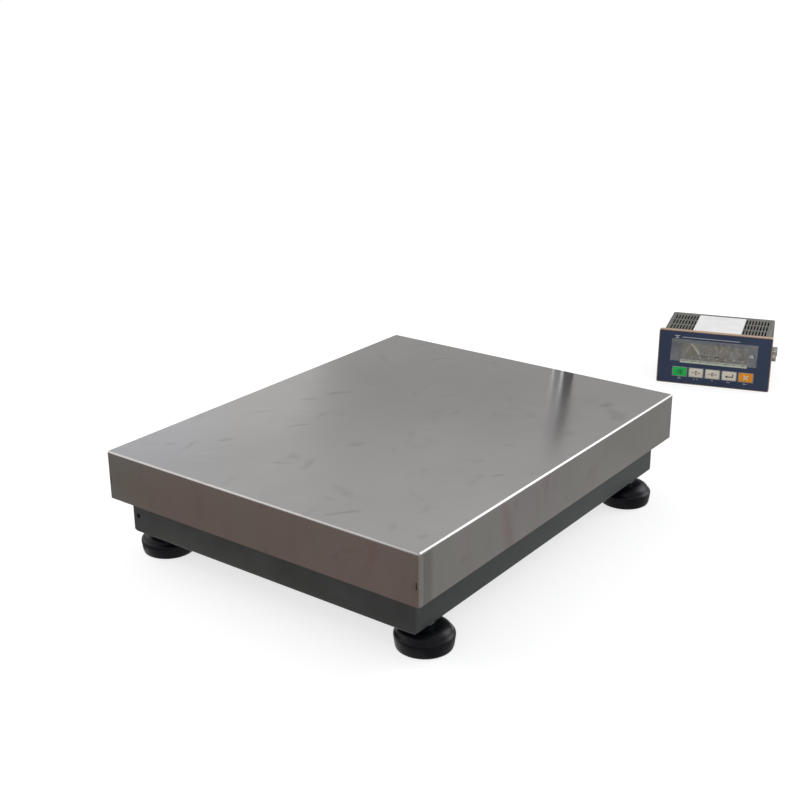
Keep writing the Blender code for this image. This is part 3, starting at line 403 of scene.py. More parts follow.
def drill(node, bottom, top, radius, sides=24):
    """A rod on the axis of an upright CAD node, which is taken out of another shape."""
    x, y = axis_of(node)
    return rod((x, y, bottom), (x, y, top), radius, sides)


def tube_ring(low, high, wide, radius, segments):
    """A ring of square or rectangular tube with rounded edges."""
    inside = cuboid((low.x + wide, low.y + wide, low.z - 0.02),
                    (high.x - wide, high.y - wide, high.z + 0.02))
    ring = worked(cuboid(low, high), inside)
    return round_off(ring, list(ring.edges), radius, segments)


def cross_channel(low, high, wide, middle, open_way, bolts):
    """A channel folded across a ring, open down (-1) or up (1), with holes for two bolts."""
    form = cuboid((low.x + wide - channel_lap, middle - channel_half, low.z),
                  (high.x - wide + channel_lap, middle + channel_half, low.z + channel_tall))
    shut = [face for face in form.faces
            if abs(face.normal.x) > 0.9 or face.normal.z * open_way > 0.9]
    bmesh.ops.delete(form, geom=shut, context="FACES")
    round_off(form, [edge for edge in edges_along(form, 0) if len(edge.link_faces) == 2], 0.004, 4)
    bmesh.ops.recalc_face_normals(form, faces=form.faces)
    bmesh.ops.solidify(form, geom=form.faces[:], thickness=channel_wall)
    return worked(form, *(drill(f"{bolts}_cell_bolt_{index}", low.z - 0.01, low.z + 0.04,
                                m8_clear, 20) for index in (1, 2)))


def frame_welds(form, low, high, wide, middle, flat):
    """Adds the mitre welds of a ring, in its corners, and those at both ends of its channel."""
    for x, inner_x in ((low.x, low.x + wide), (high.x, high.x - wide)):
        for y, inner_y in ((low.y, low.y + wide), (high.y, high.y - wide)):
            outer = Vector((x, y, low.z)).lerp(Vector((inner_x, inner_y, low.z)), 0.10)
            weld_bead(form, outer, (inner_x, inner_y, low.z), mitre_weld)
            weld_bead(form, (inner_x, inner_y, low.z + 0.003), (inner_x, inner_y, high.z - 0.003),
                      corner_weld)
    for x in (low.x + wide, high.x - wide):
        weld_bead(form, (x, middle - 0.026, flat), (x, middle + 0.026, flat), channel_weld)
        for side in (-channel_half, channel_half):
            weld_bead(form, (x, middle + side, low.z + 0.002),
                      (x, middle + side, low.z + channel_tall - 0.003), channel_weld)


m8_clear = 0.0043
m10_clear = 0.0053
channel_half = 0.030
channel_tall = 0.020
channel_wall = 0.003
channel_lap = 0.001
mitre_weld = 0.0011
corner_weld = 0.0024
channel_weld = 0.0022
cell_end_to_channel = 0.025
side_hole_height = 0.05
frame_paint = finish("frame_paint_worn", ((0.030, 0.037, 0.035), (0.046, 0.053, 0.051)), (0.42, 0.62),
                     30.0, 420.0, 0.00008)
low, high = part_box("base_frame")
tube_wide = 0.030
holes = []
for index in range(1, 5):
    stud_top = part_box(f"foot_stud_{index}")[1].z
    holes.append(drill(f"foot_stud_{index}", 0.0, stud_top + 0.0004, m10_clear))
    stop_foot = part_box(f"stop_bolt_{index}")[0].z
    holes.append(drill(f"stop_bolt_{index}", stop_foot - 0.0004, 0.1, m8_clear))
vent_x = low.x + 0.009
gland_x = axis_of("cable_gland")[0]
for x, start_y, end_y, radius in ((vent_x, low.y - 0.01, low.y + 0.006, 0.0025),
                                  (gland_x, high.y + 0.02, high.y - 0.05, 0.0063)):
    holes.append(rod((x, start_y, side_hole_height), (x, end_y, side_hole_height), radius))
cross_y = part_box("load_cell")[0].y + cell_end_to_channel
ring = worked(tube_ring(low, high, tube_wide, 0.003, 4), *holes)
pour(ring, cross_channel(low, high, tube_wide, cross_y, -1, "lower"))
frame_welds(ring, low, high, tube_wide, cross_y, low.z + channel_tall)
make_piece("base_ring_and_channel", ring, "base", frame_paint, "base_frame")


# The cable gland: black nylon, screwed in the back tube where the load cell's lead would
# leave. A hexagon, a ribbed dome nut and a bored rubber seal.
mm = 0.001
black_nylon = finish("black_nylon", ((0.010, 0.010, 0.011), (0.020, 0.020, 0.021)), (0.38, 0.55),
                     120.0, 1500.0)


def turned(origin, way, profile, steps=48, unit=mm):
    """A new turned shape. Its profile gives places along the axis and the radius there."""
    origin = Vector(origin)
    axis = Vector(way).normalized()
    side = axis.orthogonal().normalized()
    outline = [(profile[0][0], 0.0), *profile, (profile[-1][0], 0.0)]
    form = bmesh.new()
    verts = [form.verts.new(origin + (axis * along + side * radius) * unit)
             for along, radius in outline]
    edges = [form.edges.new(pair) for pair in zip(verts, verts[1:])]
    bmesh.ops.spin(form, geom=verts + edges, cent=origin, axis=axis, angle=2 * math.pi,
                   steps=steps, use_merge=True)
    bmesh.ops.remove_doubles(form, verts=form.verts, dist=0.000001)
    return form


def hex_block(start, end, across, chamfer, both=False):
    """A hexagonal bar between two points, its corners turned off at its end or at both."""
    start, end = Vector(start), Vector(end)
    long = (end - start).length
    ridge = across / math.sqrt(3)
    outside = ridge + 0.0001
    flat = across / 2 * 0.95
    profile = [(0.0, flat), (chamfer, outside)] if both else [(0.0, outside), (long * 0.3, outside)]
    profile += [(long - chamfer, outside), (long, flat)]
    cone = turned(start, end - start, profile, unit=1.0)
    return worked(rod(start, end, ridge, 6), cone, operation="INTERSECT")


gland_face = Vector((gland_x, high.y + 0.0003, side_hole_height))
backward = Vector((0.0, 1.0, 0.0))
gland_bore = rod(gland_face - backward * 0.05, gland_face + backward * 0.03, 0.003)
grips = []
for index in range(12):
    angle = index * math.pi / 6
    foot = gland_face + Vector((math.cos(angle), 0.0, math.sin(angle))) * 0.0079
    grips.append(rod(foot + backward * 0.0072, foot + backward * 0.0135, 0.0008, 10))
barrel = turned(gland_face, backward, ((-28, 5.6), (-1, 6.0), (4.5, 6.8), (6.5, 7.0), (7.0, 7.6),
                                       (12.0, 7.3), (15.5, 6.4), (17.8, 5.0), (18.0, 4.2)), 40)
gland = pour(hex_block(gland_face, gland_face + backward * 0.005, 0.016, 0.0006),
             worked(barrel, gland_bore, *grips))
make_piece("cable_gland_body", gland, "base", black_nylon, "cable_gland")


# The levelling feet: a glossy black moulded pad with a grooved sole, a zinc plated stud
# whose rolled thread turns in the tube, and a thin locknut against the tube.
moulded_black = finish("foot_moulding_gloss", ((0.0022, 0.0026, 0.0042), (0.0048, 0.0052, 0.0074)),
                       (0.28, 0.40), 60.0, 900.0, 0.00003, Specular_IOR_Level=0.13)
zinc_plate = finish("zinc_plate_worn", ((0.46, 0.47, 0.46), (0.62, 0.62, 0.58)), (0.28, 0.42),
                    160.0, 1800.0, 0.00001, Metallic=1.0)
m8_thread = (0.0039, 0.00125)
m10_thread = (0.0049, 0.0015)
turn_steps = 20


def threaded(start, end, radius, pitch):
    """A new threaded bar: a core and a closed helical ridge wound on it."""
    start, end = Vector(start), Vector(end)
    run = end - start
    axis = run.normalized()
    side = axis.orthogonal().normalized()
    root = radius - 0.54 * pitch
    form = rod(start, end, root)
    count = int((run.length / pitch - 1.2) * turn_steps)
    ridge = ((0.03, root - 0.0001), (0.45, radius), (0.55, radius), (0.97, root - 0.0001))
    verts = [form.verts.new(start + axis * pitch * along + side * out) for along, out in ridge]
    edges = [form.edges.new(pair) for pair in zip(verts, verts[1:] + verts[:1])]
    last = bmesh.ops.spin(form, geom=verts + edges, cent=start, axis=axis, steps=count,
                          dvec=axis * pitch / turn_steps,
                          angle=2 * math.pi * count / turn_steps)["geom_last"]
    for loop in (edges, [item for item in last if isinstance(item, bmesh.types.BMEdge)]):
        bmesh.ops.edgeloop_fill(form, edges=loop)
    return form


def thread_nut(node, across, bore_radius):
    """A chamfered hexagon nut with its bore, where a CAD nut lies."""
    low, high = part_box(node)
    x, y = axis_of(node)
    nut = hex_block((x, y, low.z), (x, y, high.z), across, 0.0008, True)
    return worked(nut, drill(node, low.z - 0.01, high.z + 0.01, bore_radius, 28))


foot_outline = []
for groove in (12.0, 17.5, 23.0):
    foot_outline += [(0.0, groove), (0.8, groove + 0.5), (0.8, groove + 2.0), (0.0, groove + 2.5)]
foot_outline += [(0.0, 26.8), (0.6, 27.7), (2.2, 28.2), (7.5, 29.0), (11.8, 29.5), (13.1, 29.5),
                 (14.1, 29.2), (14.9, 28.6), (15.6, 27.7)]
for step in range(1, 13):
    angle = step / 12 * math.pi / 2
    foot_outline.append((16.0 + 7.6 * math.sin(angle) ** 1.15, 10.8 + 16.0 * math.cos(angle) ** 0.85))
foot_outline += [(23.8, 10.4), (24.0, 10.0), (24.0, 5.4), (8.1, 5.4)]
upward = Vector((0.0, 0.0, 1.0))
for index in range(1, 5):
    low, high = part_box(f"foot_stud_{index}")
    x, y = axis_of(f"foot_stud_{index}")
    pad = turned((x, y, 0.0), upward, foot_outline, 72)
    make_piece(f"foot_{index}_moulding", pad, f"foot_{index}", moulded_black,
               f"foot_pad_{index}", 50.0)
    stud = threaded((x, y, low.z + 0.0004), (x, y, high.z - 0.0004), *m10_thread)
    make_piece(f"foot_{index}_threaded_stud", stud, f"stud_{index}", zinc_plate,
               f"foot_stud_{index}", 50.0)
    nut = thread_nut(f"foot_nut_{index}", 0.017, m10_clear)
    make_piece(f"foot_{index}_locknut", nut, "base", zinc_plate, f"foot_nut_{index}")


# The overload stops: hexagon screws that stand in the base frame, their heads a millimetre
# under the upper frame, each held by a locknut.
stop_across = 0.013
stop_head = 0.0053
for index in range(1, 5):
    low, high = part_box(f"stop_bolt_{index}")
    x, y = axis_of(f"stop_bolt_{index}")
    bolt = pour(threaded((x, y, low.z + 0.0002), (x, y, high.z - 0.005), *m8_thread),
                hex_block((x, y, high.z - stop_head), (x, y, high.z), stop_across, 0.0007))
    make_piece(f"stop_{index}_screw", bolt, "base", zinc_plate,
               f"stop_bolt_{index}", 50.0)
    nut = thread_nut(f"stop_nut_{index}", stop_across, m8_clear)
    make_piece(f"stop_{index}_locknut", nut, "base", zinc_plate, f"stop_nut_{index}")


# The spirit level: a turned aluminium cup with a domed acrylic vial, its liquid tinted, with
# a black circle round the bubble.
bare_aluminium = finish("milled_aluminium_satin", ((0.58, 0.58, 0.60), (0.68, 0.68, 0.69)),
                        (0.28, 0.38), 14.0, (40.0, 2600.0, 2600.0), 0.00001, Metallic=1.0)
tinted_acrylic = finish("level_liquid", ((0.42, 0.62, 0.12), (0.50, 0.70, 0.16)), (0.04, 0.08), 90.0,
                        depth=0.000002, Transmission_Weight=0.35)
dark_ink = finish("dark_ink", ((0.012, 0.013, 0.018), (0.020, 0.021, 0.028)), (0.4, 0.55), 300.0)
bubble_finish = finish("level_bubble", ((0.82, 0.90, 0.60), (0.90, 0.95, 0.70)), (0.05, 0.10), 200.0)
level_foot = Vector((*axis_of("level_body"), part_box("level_body")[0].z))
cup = turned(level_foot, upward, ((3.0, 10.5), (9.6, 10.5), (10.0, 10.8), (10.0, 11.7), (9.6, 12.0),
                                  (0.4, 12.0), (0.0, 11.7)), 64)
make_piece("level_cup", cup, "base", bare_aluminium, "level_body")
vial = turned(level_foot, upward, ((3.3, 10.2), (7.8, 10.2), (8.1, 10.0), (8.6, 8.0), (8.9, 5.2),
                                   (9.0, 0.0)), 64)
make_piece("level_vial_dome", vial, "base", tinted_acrylic, "level_vial", 50.0)
circle = worked(rod(level_foot + upward * 0.00885, level_foot + upward * 0.00903, 0.0047, 48),
                rod(level_foot + upward * 0.008, level_foot + upward * 0.010, 0.0042, 48))
make_piece("level_circle", circle, "base", dark_ink)
bubble = bmesh.new()
bmesh.ops.create_uvsphere(bubble, u_segments=24, v_segments=12, radius=0.0032)
bmesh.ops.scale(bubble, vec=(1.0, 1.0, 0.09), verts=bubble.verts)
bmesh.ops.translate(bubble, vec=level_foot + upward * 0.00895, verts=bubble.verts)
make_piece("level_bubble", bubble, "base", bubble_finish)


# The load cell: one milled bar of aluminium, bored and slotted so that four thin places
# bend, with white sealant over the gauge pockets. Steel spacers hold it clear at both ends.
low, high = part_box("load_cell")
cell_middle = (low + high) / 2
across = Vector((1.0, 0.0, 0.0))
bore_offset = 0.019
bore_radius = 0.0135
slot_half = 0.005
cut_reach = 0.03
tapped_depth = 0.0093
bend_reach = 0.034
cuts = []
for side in (-bore_offset, bore_offset):
    bore_middle = cell_middle + backward * side
    cuts.append(rod(bore_middle - across * cut_reach, bore_middle + across * cut_reach,
                    bore_radius, 64))
slit_half = Vector((cut_reach, bore_offset, slot_half))
cuts.append(cuboid(cell_middle - slit_half, cell_middle + slit_half))
for index in (1, 2):
    cuts.append(drill(f"lower_cell_bolt_{index}", low.z - 0.01, low.z + tapped_depth, m8_clear))
    cuts.append(drill(f"upper_cell_bolt_{index}", high.z - tapped_depth, high.z + 0.01, m8_clear))
bar = cuboid(low, high)
bar = worked(round_off(bar, edges_along(bar, 1), 0.0008, 2), *cuts)
for part in (-1.0, -0.5, 0.0, 0.5, 1.0):
    bmesh.ops.bisect_plane(bar, geom=[*bar.verts, *bar.edges, *bar.faces], dist=0.000001,
                           plane_co=cell_middle + backward * bend_reach * part, plane_no=backward)
bar = make_piece("load_cell_bar", bar, None, bare_aluminium, "load_cell")
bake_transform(bar)
sealant = finish("white_sealant", ((0.66, 0.65, 0.61), (0.78, 0.77, 0.73)), (0.35, 0.5),
                 140.0, 500.0, 0.0001)
for end, way, face_x in (("left", -across, low.x), ("right", across, high.x)):
    pocket = Vector((face_x, cell_middle.y - 0.052, cell_middle.z))
    blob = turned(pocket, way, ((-1.0, 7.5), (0.2, 7.5), (0.9, 5.5), (1.1, 2.0)), 40)
    make_piece(f"cell_sealant_{end}", blob, "base", sealant)
for name, body, end in (("bottom_spacer", "base", "lower"), ("top_spacer", "platform", "upper")):
    low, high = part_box(name)
    plate = cuboid(low, high)
    round_off(plate, edges_along(plate, 2), 0.0012, 3)
    holes = [drill(f"{end}_cell_bolt_{index}", low.z - 0.01, high.z + 0.01, m8_clear)
             for index in (1, 2)]
    make_piece(f"{name}_plate", worked(plate, *holes), body, zinc_plate, name)


# The cell's screws: four socket screws, two up through the base channel and two down
# through the upper channel, with turned heads and a hexagon socket.
for index in (1, 2):
    for end, body, way in (("lower", "base", -upward), ("upper", "platform", upward)):
        node = f"{end}_cell_bolt_{index}"
        low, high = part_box(node)
        top_end, tip = (high.z, low.z) if body == "platform" else (low.z, high.z)
        head_end = Vector((*axis_of(node), top_end))
        seat = head_end - way * 0.008
        head = turned(seat, way, ((0.0, 6.3), (0.3, 6.5), (7.2, 6.5), (8.0, 5.8)))
        socket = rod(head_end - way * 0.004, head_end + way * 0.004, 0.0034, 6)
        screw = threaded((seat.x, seat.y, tip), seat + way * 0.001, *m8_thread)
        make_piece(f"{end}_cell_screw_{index}", pour(screw, worked(head, socket)), body, zinc_plate,
                   node, 50.0)


# The upper frame: a ring of square tube and a channel open upwards, welded and painted as
# the base. Four rubber buttons on it carry the pan.
low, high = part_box("upper_frame")
spider_wide = 0.020
upper_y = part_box("load_cell")[1].y - cell_end_to_channel
spider = pour(tube_ring(low, high, spider_wide, 0.002, 3),
              cross_channel(low, high, spider_wide, upper_y, 1, "upper"))
frame_welds(spider, low, high, spider_wide, upper_y, low.z + channel_wall)
make_piece("upper_ring_and_channel", spider, "platform", frame_paint, "upper_frame")
button_rubber = finish("button_rubber", ((0.012, 0.012, 0.013), (0.024, 0.024, 0.024)), (0.62, 0.82),
                       220.0, 1600.0, 0.00004)
for index in range(1, 5):
    low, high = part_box(f"pan_pad_{index}")
    tall = (high.z - low.z) / mm
    button = turned((*axis_of(f"pan_pad_{index}"), low.z), upward,
                    ((0.0, 10.2), (0.2, 10.5), (tall - 0.4, 9.5), (tall, 8.8)), 40)
    make_piece(f"pan_button_{index}", button, "platform", button_rubber,
               f"pan_pad_{index}")


# The pan: one folded sheet of satin stainless steel with four skirts, welded and ground at
# the corners, where a short slot stays open. Handled, so it is smudged and lightly scratched.
# Its skirts also carry a painted reflection: darker warm streaks and greenish patches.
def tinted(tree, base, colour, amount):
    """A colour mixed into another by an amount from 0 to 1."""
    mix = tree.nodes.new("ShaderNodeMix")
    mix.data_type = "RGBA"
    feed(tree, mix, A=base, B=(*colour, 1.0), Factor=amount)
    return mix.outputs["Result"]


def product(tree, first, *others):
    """Sockets and numbers multiplied together."""
    for other in others:
        first = add_math(tree, "MULTIPLY", first, other)
    return first


pan_low, pan_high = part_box("pan")
satin_steel = bpy.data.materials.new("satin_stainless_handled")
satin_steel.use_nodes = True
tree = satin_steel.node_tree
spot = tree.nodes.new("ShaderNodeSeparateXYZ")
feed(tree, spot, tree.nodes.new("ShaderNodeTexCoord").outputs["Object"])
on_skirt = between(tree, add_math(tree, "SUBTRACT", pan_high.z, spot.outputs["Z"]), 0.002, 0.004)
on_top = add_math(tree, "SUBTRACT", 1.0, on_skirt)
from_corner = add_math(tree, "SUBTRACT", spot.outputs["Y"], pan_low.y)
beyond_corner = add_math(tree, "SUBTRACT", 1.0, between(tree, from_corner, 0.015, 0.024))
colour = two_tones(tree, noise_field(tree, (5.0, 4.0, 9.0), 3.0), (0.3, 0.7),
                   ((0.292, 0.282, 0.272), (0.330, 0.322, 0.314)))
smudges = between(tree, noise_field(tree, (26.0, 17.0, 24.0), 2.0, 20.0, 0.4), 0.60, 0.76)
marks = between(tree, noise_field(tree, (75.0, 24.0, 60.0), 0.0, -38.0, 0.3), 0.76, 0.88)
# Painted reflection on the skirts only: darker warm vertical streaks and greenish-grey patches.
skirt_reflection_streaks = between(tree, noise_field(tree, (34.0, 34.0, 9.0), 5.0, 0.0, 0.5), 0.46, 0.74)
skirt_reflection_patches = between(tree, noise_field(tree, (13.0, 13.0, 5.0), 3.0, 0.0, 0.3), 0.42, 0.62)
ground = product(tree, between(tree, from_corner, 0.0055, 0.0075), beyond_corner)
scratches = between(tree, noise_field(tree, (16.0, 420.0, 300.0), 0.0, 24.0), 0.74, 0.82)
# The third and fourth tones are the painted reflection on the skirts.
for tone, amount in (((0.215, 0.205, 0.192), product(tree, smudges, 0.48)),
                     ((0.15, 0.142, 0.135), product(tree, marks, 0.38)),
                     ((0.270, 0.212, 0.202), product(tree, skirt_reflection_streaks, on_skirt, 0.55)),
                     ((0.300, 0.312, 0.275), product(tree, skirt_reflection_patches, on_skirt, 0.65)),
                     ((0.175, 0.170, 0.165), product(tree, ground, on_skirt, 0.55)),
                     ((0.42, 0.41, 0.40), product(tree, scratches, on_top, 0.30))):
    colour = tinted(tree, colour, tone, amount)
wear = noise_field(tree, (18.0, 12.0, 18.0), 3.0, 10.0)
gloss = add_math(tree, "ADD", 0.20, product(tree, wear, 0.08))
relief = shade(tree, "ShaderNodeBump", Strength=0.35, Distance=0.00001,
               Height=noise_field(tree, (1500.0, 30.0, 1500.0), 2.0))
feed(tree, tree.nodes["Principled BSDF"], Metallic=1.0, Base_Color=colour, Roughness=gloss,
     Normal=relief)

sheet_thick = 0.0015
sheet = cuboid(pan_low, pan_high)
round_off(sheet, edges_along(sheet, 2), 0.0025, 5)
bmesh.ops.delete(sheet, geom=[face for face in sheet.faces if face.normal.z < -0.9], context="FACES")
round_off(sheet, edges_where(sheet, lambda place: place.z > pan_high.z - 0.001), 0.0022, 5)
bmesh.ops.recalc_face_normals(sheet, faces=sheet.faces)
bmesh.ops.solidify(sheet, geom=sheet.faces[:], thickness=sheet_thick)
slot_z = pan_low.z + 0.4 * (pan_high.z - pan_low.z)
slot_half = Vector((0.0006, 0.003, 0.0035))
slot_inset = 0.003
slots = []
for y in (pan_low.y, pan_high.y):
    for x in (pan_low.x + slot_inset, pan_high.x - slot_inset):
        slot_middle = Vector((x, y, slot_z))
        slots.append(cuboid(slot_middle - slot_half, slot_middle + slot_half))
make_piece("pan_sheet", worked(sheet, *slots), "pan", satin_steel, "pan", 40.0)


# The controller's sleeve: grey moulded plastic, open at both ends, its front end held in the
# bezel. Rows of vent slots flank the blank middle, and a plain white label lies on top. The
# controller is drawn upright in millimetres, its face at 0, and then stood in its place.
stand = (Matrix.Translation((0.089, 0.371129, 0.000221))
         @ Euler((-math.radians(1.58235), 0.0, math.radians(17.5))).to_matrix().to_4x4())
grey_plastic = finish("housing_plastic_grained", ((0.062, 0.060, 0.050), (0.088, 0.085, 0.072)),
                      (0.46, 0.62), 25.0, 2200.0, 0.00003)
label_paper = finish("label_paper", ((0.70, 0.70, 0.68), (0.80, 0.80, 0.79)), (0.42, 0.58),
                     45.0, 300.0, 0.00004)


def slab(left, right, front, back, bottom, top, corner=0.0, segments=5):
    """A new box of the controller, its long edges rounded."""
    form = cuboid((left * mm, front * mm, bottom * mm), (right * mm, back * mm, top * mm))
    return round_off(form, edges_along(form, 1), corner * mm, segments) if corner else form


def peg(x, z, front, back, radius, sides=20):
    """A new round bar of the controller that runs from front to back."""
    return rod((x * mm, front * mm, z * mm), (x * mm, back * mm, z * mm), radius * mm, sides)


def fit(name, form, surface, replaced=None, body="controller", sharp=35.0):
    """Makes a piece of the controller and stands it in its place."""
    form.transform(stand)
    make_piece(name, form, body, surface, replaced, sharp)


sleeve_half = 75
sleeve_low = 3
sleeve_high = 77
vent_long = 24
vent_half = 1.1
sleeve = slab(-sleeve_half, sleeve_half, 3.3, 114.3, sleeve_low, sleeve_high, 2)
inner = slab(2 - sleeve_half, sleeve_half - 2, -10, 200, sleeve_low + 2, sleeve_high - 2, 0.6, 2)
slots = bmesh.new()
hooks = bmesh.new()
ledges = bmesh.new()
for side in (-1, 1):
    for column in range(8):
        x = side * (sleeve_half - 8 - column * 4.4)
        for row in range(3):
            front = 20.15 + row * (vent_long + 5)
            vent = slab(x - vent_half, x + vent_half, front, front + vent_long, -20, 100)
            pour(slots, round_off(vent, edges_along(vent, 2), 1.05 * mm, 4))
    wall = side * sleeve_half
    pour(hooks, slab(wall - 1, wall + 1, 47.7, 78.3, 32.7, 47.3))
    pour(ledges, slab(side * 71.8 - 1.8, side * 71.8 + 1.8, 32, 110, 16.7, 19.7))
sleeve = pour(worked(sleeve, inner, slots, hooks), ledges)
fit("sleeve", sleeve, grey_plastic, "housing")
label = slab(-34, 34, 16, 108, sleeve_high, sleeve_high + 0.15)
fit("blank_label", round_off(label, edges_along(label, 2), 2 * mm, 4), label_paper)


# The back: a plate with a plug that enters the sleeve, held by four small screws, and three
# green connectors of wire clamps that stand in its openings.
clamp_green = finish("connector_green", ((0.012, 0.20, 0.055), (0.022, 0.26, 0.080)),
                     (0.34, 0.48), 80.0, 1700.0)
connector_pitch = 5
plate_back = 116.6
plug_half = 72.7
plug_low = 5.3
plug_high = 74.7
plug_wall = 2
connectors = (("power_terminal", 5, -57, 52), ("signal_terminal", 10, -19, 52),
              ("cell_socket", 7, -49, 28))
cover_corners = [(x, z) for x in (-66.5, 66.5) for z in (11.5, 68.5)]
plate = worked(slab(-sleeve_half, sleeve_half, 114.6, plate_back, sleeve_low, sleeve_high, 2),
               slab(-plug_half, plug_half, 110.6, 115.6, plug_low, plug_high), operation="UNION")
openings = [slab(plug_wall - plug_half, plug_half - plug_wall, 100, 114.6,
                 plug_low + plug_wall, plug_high - plug_wall)]
for name, ways, left, height in connectors:
    right = left + ways * connector_pitch + 1
    openings.append(slab(left - 0.3, right + 0.3, 100, 130, height - 6.3, height + 6.3))
openings.append(pour(bmesh.new(), *(peg(x, z, 115.8, 120, 2.9, 24) for x, z in cover_corners)))
fit("back_plate", worked(plate, *openings), grey_plastic, "rear_cover")
cover_screws = bmesh.new()
for x, z in cover_corners:
    head = turned((x * mm, 0.0, z * mm), backward,
                  ((115.8, 2.7), (116.3, 2.7), (116.45, 2.4), (plate_back, 1.5)), 32)
    pour(cover_screws, worked(head, slab(x - 1.7, x + 1.7, 116.1, 118, z - 0.35, z + 0.35),
                              slab(x - 0.35, x + 0.35, 116.1, 118, z - 1.7, z + 1.7)))
fit("cover_screws", cover_screws, zinc_plate)
for name, ways, left, height in connectors:
    body = slab(left, left + ways * connector_pitch + 1, 106.6, 124.6, height - 6, height + 6)
    round_off(body, edges_where(body, lambda place: place.y > 0.12), 0.5 * mm, 2)
    pockets = bmesh.new()
    heads = bmesh.new()
    screw_z = height + 2.2
    for way in range(ways):
        x = left + 0.5 + (way + 0.5) * connector_pitch
        pour(pockets, slab(x - 1.6, x + 1.6, 120.6, 130, height - 4.6, height - 1.2),
             peg(x, screw_z, 123.2, 130, 1.8))
        groove = slab(x - 2, x + 2, 123.2, 130, screw_z - 0.3, screw_z + 0.3)
        pour(heads, worked(peg(x, screw_z, 122.2, 123.6, 1.6), groove),
             slab(x - 1.3, x + 1.3, 120, 121.5, height - 4.3, height - 1.5))
    fit(f"{name}_body", worked(body, pockets), clamp_green, name)
    fit(f"{name}_clamps", heads, zinc_plate)


# The panel clamps: a bent zinc bracket hooked in each side of the sleeve, and a slotted
# screw that would press on the back of a panel.
clamp_z = 40
screw_tip = 39
for side, end in ((-1, "left"), (1, "right")):
    bracket = slab(*sorted((side * 74.3, side * 84)), 48, 78, 33, 47)
    bends = [edge for edge in edges_along(bracket, 2) if abs(edge.verts[0].co.x) < 0.08]
    round_off(bracket, bends, 1.2 * mm, 3)
    pocket = slab(*sorted((side * 76.3, side * 90)), 50, 76, 20, 60)
    x = side * 79.5
    bracket = worked(bracket, pocket, peg(x, clamp_z, 30, 100, 2.3, 24))
    fit(f"clamp_bracket_{end}", bracket, zinc_plate, f"panel_clamp_{end}")
    tip = Vector((x, screw_tip, clamp_z)) * mm
    screw = threaded(tip, tip + backward * 0.047, 0.00195, 0.0007)
    head = turned(tip, backward, ((46.5, 3.5), (48.8, 3.4), (49.5, 2.6)), 32)
    groove = slab(x - 5, x + 5, screw_tip + 48.5, 100, clamp_z - 0.5, clamp_z + 0.5)
    fit(f"clamp_thread_{end}", pour(screw, worked(head, groove)), zinc_plate,
        f"clamp_screw_{end}", f"{end}_clamp_screw", 50.0)


# The boards: green laminate with its parts. The display board carries five key switches and
# the digits, the main board a transformer, a capacitor and a processor.
laminate = finish("circuit_laminate", ((0.008, 0.075, 0.022), (0.014, 0.125, 0.040)),
                  (0.28, 0.42), 260.0, (700.0, 90.0, 700.0), 0.00003)
yellow_tape = finish("transformer_tape", ((0.55, 0.38, 0.05), (0.68, 0.50, 0.09)), (0.35, 0.5),
                     120.0)
dark_core = finish("ferrite_core", ((0.030, 0.030, 0.032), (0.055, 0.054, 0.055)), (0.5, 0.65), 150.0)
can_sleeve = finish("capacitor_sleeve", ((0.015, 0.020, 0.060), (0.025, 0.034, 0.095)),
                    (0.25, 0.35), 90.0)
key_names = ("function", "tare", "zero", "enter", "exit")
key_centres = [(index - 2) * 23.5 for index in range(5)]
key_z = 18.6
board_half = 72.7
board_top = 21.6
part_left = 12 - board_half
can_x = part_left + 48
chip_left = board_half - 42
switches = bmesh.new()
for x in key_centres:
    pour(switches, slab(x - 3, x + 3, 12.9, 16.5, key_z - 3, key_z + 3), peg(x, key_z, 5.2, 13, 1.75))
legs = bmesh.new()
for index in range(16):
    along = 1.5 + index * 1.14
    pour(legs, slab(chip_left + along, chip_left + along + 0.5, 42, 62, board_top, board_top + 0.4),
         slab(chip_left, chip_left + 20, 42 + along, 42.5 + along, board_top, board_top + 0.4))
can = turned((can_x * mm, 0.056, 0.0), upward,
             ((board_top, 7.9), (22.8, 7.5), (23.8, 8), (43.6, 8), (44, 7.4)), 40)
fit("display_board_laminate", slab(-board_half, board_half, 16.4, 18, 5.3, 74.7), laminate,
    "display_board")
fit("key_switches", switches, black_nylon)
fit("main_board_laminate", slab(-board_half, board_half, 32, 110, 20, board_top), laminate,
    "main_board")
coil = slab(part_left + 3, part_left + 31, 42, 70, board_top, 45.5)
fit("transformer_coil", coil, yellow_tape)
core = slab(part_left, part_left + 34, 49, 63, board_top, 46)
fit("transformer_core", core, dark_core)
fit("capacitor_can", can, can_sleeve)
fit("processor_case", slab(chip_left + 1, chip_left + 19, 43, 61, board_top + 0.1, 23.5), black_nylon)
fit("processor_legs", legs, zinc_plate)


# The digits: a black block behind the window with six seven-segment figures, unlit, their
# segments a dull cream.
unlit = finish("unlit_segment", ((0.30, 0.27, 0.24), (0.38, 0.35, 0.31)), (0.3, 0.4), 200.0)
digit_face = 5.1
digit_z = 50
digit_half = 3.6
digit_tall = 6.6
on_digit = (digit_face - 0.12, digit_face + 0.1)


def flat_shape(form, outline, layer):
    """Adds a thin plate with an outline across and up, from the front to the back of a layer."""
    front, back = layer
    face = form.faces.new([form.verts.new((x * mm, front * mm, z * mm)) for x, z in outline])
    pushed = bmesh.ops.extrude_face_region(form, geom=[face])["geom"]
    bmesh.ops.translate(form, vec=(0.0, (back - front) * mm, 0.0), verts=only_verts(pushed))


def flat_bar(form, start, end, width, layer, pointed=0.0):
    """Adds a thin bar between two points across and up, with square or pointed ends."""
    start, end = Vector(start), Vector(end)
    way = (end - start).normalized()
    side = Vector((-way.y, way.x)) * width / 2
    outline = [start + side, end + side, end - side, start - side]
    if pointed:
        outline[2:2] = [end + way * pointed]
        outline.append(start - way * pointed)
    flat_shape(form, outline, layer)


